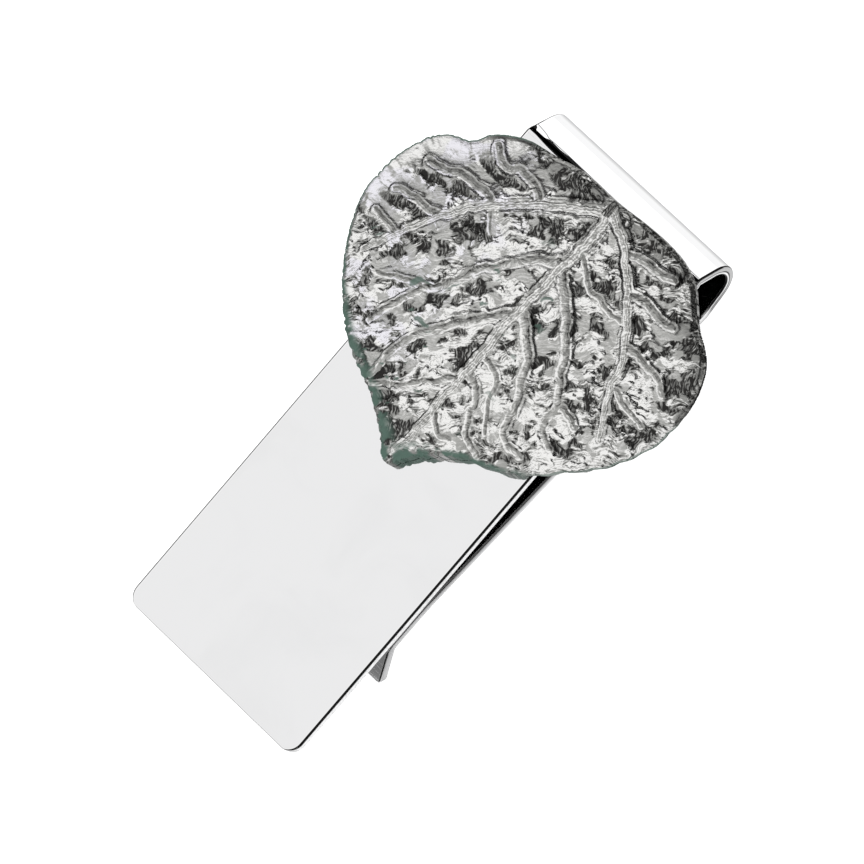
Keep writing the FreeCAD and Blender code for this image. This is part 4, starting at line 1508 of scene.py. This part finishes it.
@dataclass
class LeafCasting:
    """The cast leaf: a domed, toothed blade with raised veins and crumpled fields.

    The fields that end in `_across` and `_along` are places from the leaf's base, between
    which the lobes or the undercut set in. `toothed` does the same for the teeth, measured
    slantwise towards the tip.
    """

    dome: float = 125.0 * MM
    rib_relief: float = 0.35 * MM
    tooth_pitch: float = 1.0 * MM
    tooth_height: float = 0.13 * MM
    toothed: tuple = (10 * MM, 22 * MM)
    tooth_points: float = 8.0
    lobe_pitch: float = 2.7
    lobe_height: float = 0.08 * MM
    lobed_across: tuple = (-4 * MM, 2 * MM)
    lobed_along: tuple = (-9 * MM, -13 * MM)
    cell: float = 0.125 * MM
    cut_slack: float = 0.02 * MM
    grid_room: float = 2 * MM
    aside: float = -0.14 * MM
    undercut: float = 0.3 * MM
    undercut_across: tuple = (7 * MM, 12 * MM)
    undercut_along: tuple = (8 * MM, 12 * MM)
    crisp_edge: float = 70.0
    seed: float = 4.0

    def __post_init__(self) -> None:
        """Read the leaf's place from the frame."""
        low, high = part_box("leaf")
        self.back = low.z
        self.crown = high.z - self.rib_relief - low.z
        self.base = high.y
        self.middle = Vector(((low.x + high.x) / 2, (low.y + high.y) / 2, 0))
        self.span = high - low

    def spot(self, across: float, along: float) -> Vector:
        """Give the place of a plan point in millimetres, away from the leaf's base."""
        return Vector((across * MM + self.aside, self.base - along * MM, 0))

    def vein_object(self, name: str, veins: tuple) -> bpy.types.Object:
        """Draw veins as one curve, with their half widths as radii in millimetres.

        Args:
            name: Name of the curve.
            veins: The veins.

        Returns:
            The curve object.
        """
        runs = []
        for vein in veins:
            last = len(vein.path) - 1
            runs.append([
                (self.spot(*point), vein.root + (vein.tip - vein.root) * i / last)
                for i, point in enumerate(vein.path)
            ])
        return curve_object(name, runs, True)

    def tree(self) -> bpy.types.NodeTree:
        """Build the tree that makes the top of the leaf.

        Returns:
            The geometry tree.
        """
        net = make_group(
            "leaf_casting",
            "GeometryNodeTree",
            [
                Inlet("Outline", "NodeSocketObject"),
                Inlet("Main Veins", "NodeSocketObject"),
                Inlet("Side Veins", "NodeSocketObject"),
                Inlet("Twigs", "NodeSocketObject"),
                Inlet("Centre", "NodeSocketVector"),
                Inlet("Base", "NodeSocketVector"),
                Inlet("Size X", value=self.span.x),
                Inlet("Size Y", value=self.span.y),
                Inlet("Cell", value=self.cell),
                Inlet("Tooth Pitch", value=self.tooth_pitch),
                Inlet("Tooth Height", value=self.tooth_height),
                Inlet("Top", value=0.0),
                Inlet("Dome", value=self.dome),
                Inlet("Seed", value=self.seed),
                Inlet("Material", "NodeSocketMaterial"),
            ],
            [Inlet("Geometry", "NodeSocketGeometry")],
        )
        rim_line = self.toothed_rim(net)
        face = LeafSurface(net, rim_line)
        flat = net.position().minus(net.into["Centre"])
        radius = net.read("ShaderNodeVectorMath", {0: flat}, "Value", operation="LENGTH")
        dome = net.into["Dome"]
        fall = net.math("SQRT", dome * dome - radius * radius) - dome
        marks = face.marks()
        kept = net.capture(self.blank(net, rim_line), {
            "Relief": face.relief(self.rib_relief / MM), **marks, "Fall": fall,
        })
        level = kept["Relief"] * MM + (net.into["Top"] + kept["Fall"])
        shaped = net.read("GeometryNodeSetPosition",
                          {"Geometry": kept["Geometry"], "Offset": net.combine(z=level)})
        for name in marks:
            shaped = net.store(shaped, name, kept[name])
        net.end(shaped)
        return net.tree

    def toothed_rim(self, net: Net) -> Term:
        """Run small teeth round the outline, strongest about the tip, and lobes on its right.

        Args:
            net: The leaf's net.

        Returns:
            The toothed outline.
        """
        fine = net.read(
            "GeometryNodeResampleCurve",
            {"Curve": net.drawn("Outline"), "Length": net.into["Tooth Pitch"] / self.tooth_points},
            mode="LENGTH",
        )
        along = net.read("GeometryNodeSplineParameter", output="Length")
        place = net.position()
        turns = along / net.into["Tooth Pitch"] + place.noise(420.0, 1.0) * 3.0
        wave = abs(net.math("SINE", turns * math.pi))
        x, y, _ = place.minus(net.into["Base"]).split()
        toothed = (x * -0.8 - y * 0.6).remap(*self.toothed, 0.12, 1.0)
        uneven = place.noise(260.0, 1.0).remap(0.35, 0.6, 0.4, 1.6)
        teeth = (wave - 0.6) * (toothed * uneven * net.into["Tooth Height"])
        lobed = (y.remap(*self.lobed_along, 0.0, self.lobe_height, False)
                 * x.remap(*self.lobed_across))
        lobes = net.math("SINE", turns * (2 * math.pi / self.lobe_pitch)) * lobed
        tangent = net.read("GeometryNodeInputTangent")
        outwards = net.vector("CROSS_PRODUCT", tangent, (0, 0, 1))
        return net.read("GeometryNodeSetPosition",
                        {"Geometry": fine, "Offset": outwards.scale(teeth + lobes)})

    def blank(self, net: Net, rim_line: Term) -> Term:
        """Cut a fine grid to the outline and pull its edge onto the line.

        Args:
            net: The leaf's net.
            rim_line: The toothed outline.

        Returns:
            The flat blank.
        """
        size_x, size_y, cell = net.into["Size X"], net.into["Size Y"], net.into["Cell"]
        grid = net.read("GeometryNodeMeshGrid", {
            "Size X": size_x, "Size Y": size_y,
            "Vertices X": size_x / cell, "Vertices Y": size_y / cell,
        })
        placed = net.read("GeometryNodeTransform",
                          {"Geometry": grid, "Translation": net.into["Centre"]})
        sheet = net.read("GeometryNodeFillCurve", {0: rim_line})
        over = net.read("GeometryNodeProximity", {0: sheet}, "Distance", target_element="FACES")
        cut = net.read("GeometryNodeDeleteGeometry",
                       {"Geometry": placed, "Selection": over > self.cut_slack}, domain="FACE")
        wire = net.read("GeometryNodeCurveToMesh", {"Curve": rim_line})
        nearest = net.read("GeometryNodeProximity", {0: wire}, "Position", target_element="EDGES")
        neighbours = net.read("GeometryNodeInputMeshEdgeNeighbors")
        border = net.read("FunctionNodeCompare", {2: neighbours, 3: 1},
                          data_type="INT", operation="EQUAL")
        return net.read("GeometryNodeSetPosition",
                        {"Geometry": cut, "Selection": border, "Position": nearest})

    def close(self, mesh: bpy.types.Mesh) -> None:
        """Drop a wall from the rim to the flat back, tucked under at the worn side, and close it.

        Args:
            mesh: The leaf's top, which is changed.
        """
        shell = bmesh.new()
        shell.from_mesh(mesh)
        bmesh.ops.delete(shell, geom=[v for v in shell.verts if not v.link_faces], context="VERTS")
        rim = [edge for edge in shell.edges if edge.is_boundary]
        base = self.spot(0.5, 0.5)
        foot = {}
        for vertex in dict.fromkeys(vertex for edge in rim for vertex in edge.verts):
            tuck = (self.undercut * ramp(vertex.co.x - base.x, self.undercut_across)
                    * ramp(base.y - vertex.co.y, self.undercut_along))
            place = vertex.co + Vector((-0.8 * tuck, 0.6 * tuck, self.back - vertex.co.z))
            foot[vertex] = shell.verts.new(place, vertex)
        for edge in rim:
            inner = edge.link_loops[0]
            first, second = inner.link_loop_next.vert, inner.vert
            shell.faces.new((first, second, foot[second], foot[first]), inner.face)
        lower = [edge for edge in shell.edges if edge.is_boundary]
        bmesh.ops.holes_fill(shell, edges=lower, sides=0)
        bmesh.ops.recalc_face_normals(shell, faces=shell.faces)
        for face in shell.faces:
            face.smooth = True
        for edge in shell.edges:
            edge.smooth = edge.calc_face_angle(0.0) < math.radians(self.crisp_edge)
        shell.to_mesh(mesh)
        shell.free()

    def build(self, material: bpy.types.Material) -> None:
        """Make the leaf and put it on the front body.

        Args:
            material: The leaf's finish.
        """
        outline = curve_object("leaf_outline", [[(self.spot(*p), 1.0) for p in OUTLINE]], True, True)
        mains = self.vein_object("main_veins", MAIN_VEINS)
        sides = self.vein_object("side_veins", SIDE_VEINS)
        twigs = self.vein_object("twigs", TWIGS)
        mesh = grow("leaf", self.tree(), {
            "Outline": outline, "Main Veins": mains, "Side Veins": sides, "Twigs": twigs,
            "Centre": self.middle, "Base": self.spot(0.5, 0.5),
            "Size X": self.span.x + self.grid_room, "Size Y": self.span.y + self.grid_room,
            "Cell": self.cell, "Tooth Pitch": self.tooth_pitch,
            "Tooth Height": self.tooth_height, "Top": self.back + self.crown,
            "Dome": self.dome, "Seed": self.seed, "Material": material,
        })
        self.close(mesh)
        piece = add_piece("leaf_casting", mesh, material)
        remove_objects([outline, mains, sides, twigs])
        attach(piece, Body.FRONT.value)
        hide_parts("leaf")
        LOG.info("leaf_casting: %d faces", len(mesh.polygons))


def ramp(value: float, ends: tuple) -> float:
    """Give how far a value has come between two ends, from 0 to 1."""
    low, high = ends
    return min(max((value - low) / (high - low), 0.0), 1.0)


def dress_bond(material: bpy.types.Material, node: bpy.types.Object) -> None:
    """Give the bonded patch its material.

    Args:
        material: The bond's finish.
        node: The patch as the CAD part has it.
    """
    node.data.materials.clear()
    node.data.materials.append(material)
    LOG.info("bond_film: dressed")


# ---------------------------------------------------------------------------
# The studio


@dataclass(frozen=True)
class Card:
    """A board that only reflections see.

    Attributes:
        name: Name of the board.
        azimuth: Compass direction of its middle in degrees, 0 towards +X and 90 towards +Y.
        elevation: Height of its middle in degrees.
        width: Angle that it spans across, in degrees.
        height: Angle that it spans upwards, in degrees.
        strength: How bright it is, where the surroundings are 1.
    """

    name: str
    azimuth: float
    elevation: float
    width: float
    height: float
    strength: float = 0.0


@dataclass
class Studio:
    """A white room with dark and bright boards, a pale floor and the camera.

    `clip_side`, `clip_end` and `leaf_end` are where the clip's own sides and ends and the
    leaf's wide part lie over the floor, which shows mirrors a painted shadow under the clip and
    painted light round it, and a painted dark to the right of the clip and beyond its free end.
    The camera turns about `aim`, with its angles in degrees and its distance in metres.
    """

    reach: float = 0.7
    floor_radius: float = 2.5
    floor_sides: int = 96
    white: tuple = (1, 1, 1, 1)
    paint: tuple = (0.8, 0.8, 0.8, 1)
    paint_glow: float = 0.8
    clip_side: float = 12 * MM
    clip_end: float = 31 * MM
    leaf_end: tuple = (22 * MM, 27 * MM)
    # where the floor's painted dark for mirrors sets in, across and along the clip
    painted_dark_side: tuple = (15.8 * MM, 17.5 * MM)
    painted_dark_front: tuple = (-40 * MM, -44 * MM)
    aim: Vector = field(default_factory=lambda: Vector((1.1436, 0.6838, 6.9)) * MM)
    azimuth: float = 103.0949
    elevation: float = 63.9014
    roll: float = -61.2049
    distance: float = 1.196223
    lens: float = 515.09
    sensor: float = 36.0
    nearest: float = 0.01
    farthest: float = 20.0
    cards: tuple = (
        Card("flag_crease", 112.0, 42.0, 96.0, 30.0),
        Card("flag_leaf", 50.0, 62.0, 50.0, 30.0),
        Card("flag_right", -7.0, 12.0, 50.0, 34.0),
        Card("flag_left", 187.0, 12.0, 40.0, 30.0),
        Card("flag_lip", 244.0, 0.0, 30.0, 12.0, 0.15),
        Card("bank_roll", 115.0, 12.0, 60.0, 34.0, 1.35),
    )

    def build(self) -> None:
        """Set the stage."""
        bpy.context.scene.view_settings.view_transform = "Standard"
        self.world()
        self.floor()
        for card in self.cards:
            self.card(card)
        self.camera()

    def world(self) -> None:
        """Surround the clip with an even white."""
        world = bpy.data.worlds.new("white_room")
        world.use_nodes = True
        net = Net(world.node_tree)
        sky = net.read("ShaderNodeBackground", {"Color": self.white, "Strength": 1.0})
        net.node("ShaderNodeOutputWorld", {"Surface": sky})
        bpy.context.scene.world = world

    def floor(self) -> None:
        """Lay a pale floor that shows white and keeps a soft shadow, and shows mirrors only a painted
        shadow and painted light about the clip.
        """
        mesh = bpy.data.meshes.new("floor")
        shell = bmesh.new()
        bmesh.ops.create_circle(
            shell, cap_ends=True, segments=self.floor_sides, radius=self.floor_radius)
        shell.to_mesh(mesh)
        shell.free()
        material, net = new_material("pale_floor")
        paint = net.read("ShaderNodeBsdfDiffuse", {"Color": self.paint})
        glow = net.read("ShaderNodeEmission", {"Color": self.white, "Strength": self.paint_glow})
        # painted shadow and light: in reflections the floor shows only this glow
        painted_mirror_glow = net.read("ShaderNodeEmission", {"Color": self.white, "Strength": self.painted_pool(net)})
        path = net.outputs("ShaderNodeLightPath")
        lit = net.read("ShaderNodeAddShader", {0: paint, 1: glow})
        seen = net.read("ShaderNodeMixShader", {0: path["Is Camera Ray"], 1: paint, 2: lit})
        shown = path["Is Glossy Ray"].most(path["Is Transmission Ray"])
        surface(net, net.read("ShaderNodeMixShader", {0: shown, 1: seen, 2: painted_mirror_glow}))
        add_piece("floor", mesh, material)

    def painted_pool(self, net: Net) -> Term:
        """Work out the painted shadow and light that the floor shows a mirror: dark under the clip,
        lighter round it, and dark to the right of the clip and beyond its free end.

        Args:
            net: The floor's net.

        Returns:
            The brightness.
        """
        x, y, _ = net.object_place().split()
        right = (x - self.clip_side) * y.remap(*self.leaf_end, 6.0, 14.0)
        left = (-self.clip_side - x) * 0.15
        beside = right.most(left).remap(0.5 * MM, 11 * MM, 0.1, 1.15)
        end = abs(y) - self.clip_end
        behind = (end.remap(0.0, 0.5 * MM, 0.2, 0.6)
                  * end.remap(0.5 * MM, 7 * MM, 1.0, 1.9))
        # painted dark to mirrors, to the right of the clip and beyond its free end
        painted_far_dark = (x.remap(*self.painted_dark_side, 1.0, 0.04)
                  * y.remap(*self.painted_dark_front, 1.0, 0.17))
        return beside.most(behind) * painted_far_dark

    def card(self, card: Card) -> None:
        """Hang one board round the clip.

        Args:
            card: The board.
        """
        mesh = bpy.data.meshes.new(card.name)
        shell = bmesh.new()
        wide = self.reach * math.tan(math.radians(card.width / 2))
        high = self.reach * math.tan(math.radians(card.height / 2))
        corners = [shell.verts.new((x, y, 0))
                   for x, y in ((-wide, -high), (wide, -high), (wide, high), (-wide, high))]
        shell.faces.new(corners)
        shell.to_mesh(mesh)
        shell.free()
        azimuth, elevation = math.radians(card.azimuth), math.radians(card.elevation)
        out = Vector((math.cos(azimuth) * math.cos(elevation),
                      math.sin(azimuth) * math.cos(elevation), math.sin(elevation)))
        turn = out.to_track_quat("Z", "Y").to_matrix().to_4x4()
        mesh.transform(Matrix.Translation(out * self.reach) @ turn)
        material, net = new_material(card.name)
        surface(net, net.read("ShaderNodeEmission", {"Strength": card.strength}))
        board = add_piece(card.name, mesh, material)
        board.visible_camera = False
        board.visible_diffuse = False
        board.visible_shadow = False
        board.visible_transmission = False

    def camera(self) -> None:
        """Stand the camera at its angle."""
        azimuth, elevation = math.radians(self.azimuth), math.radians(self.elevation)
        back = Vector((math.sin(azimuth) * math.cos(elevation),
                       -math.cos(azimuth) * math.cos(elevation), math.sin(elevation)))
        right = Vector((0, 0, 1)).cross(back).normalized()
        up = back.cross(right)
        turn = Matrix((right, up, back)).transposed() @ Matrix.Rotation(
            math.radians(self.roll), 3, "Z")
        data = bpy.data.cameras.new("camera")
        data.lens = self.lens
        data.sensor_width = self.sensor
        data.clip_start = self.nearest
        data.clip_end = self.farthest
        camera = bpy.data.objects.new("camera", data)
        bpy.context.scene.collection.objects.link(camera)
        camera.matrix_world = Matrix.Translation(self.aim + back * self.distance) @ turn.to_4x4()
        bpy.context.scene.camera = camera


def main() -> None:
    """Build and dress the clip."""
    logging.basicConfig(level=logging.INFO, format="%(name)s %(message)s")
    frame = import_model()
    marks = handling_marks_group()
    strip = SpringStrip()
    strip.build(PolishedStrip().material(marks, strip))
    LeafCasting().build(CastLeaf().material(marks))
    dress_bond(BondFilm().material(), frame["nodes"]["bond_film"])
    Studio().build()
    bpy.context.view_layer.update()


if __name__ == "__main__":
    main()
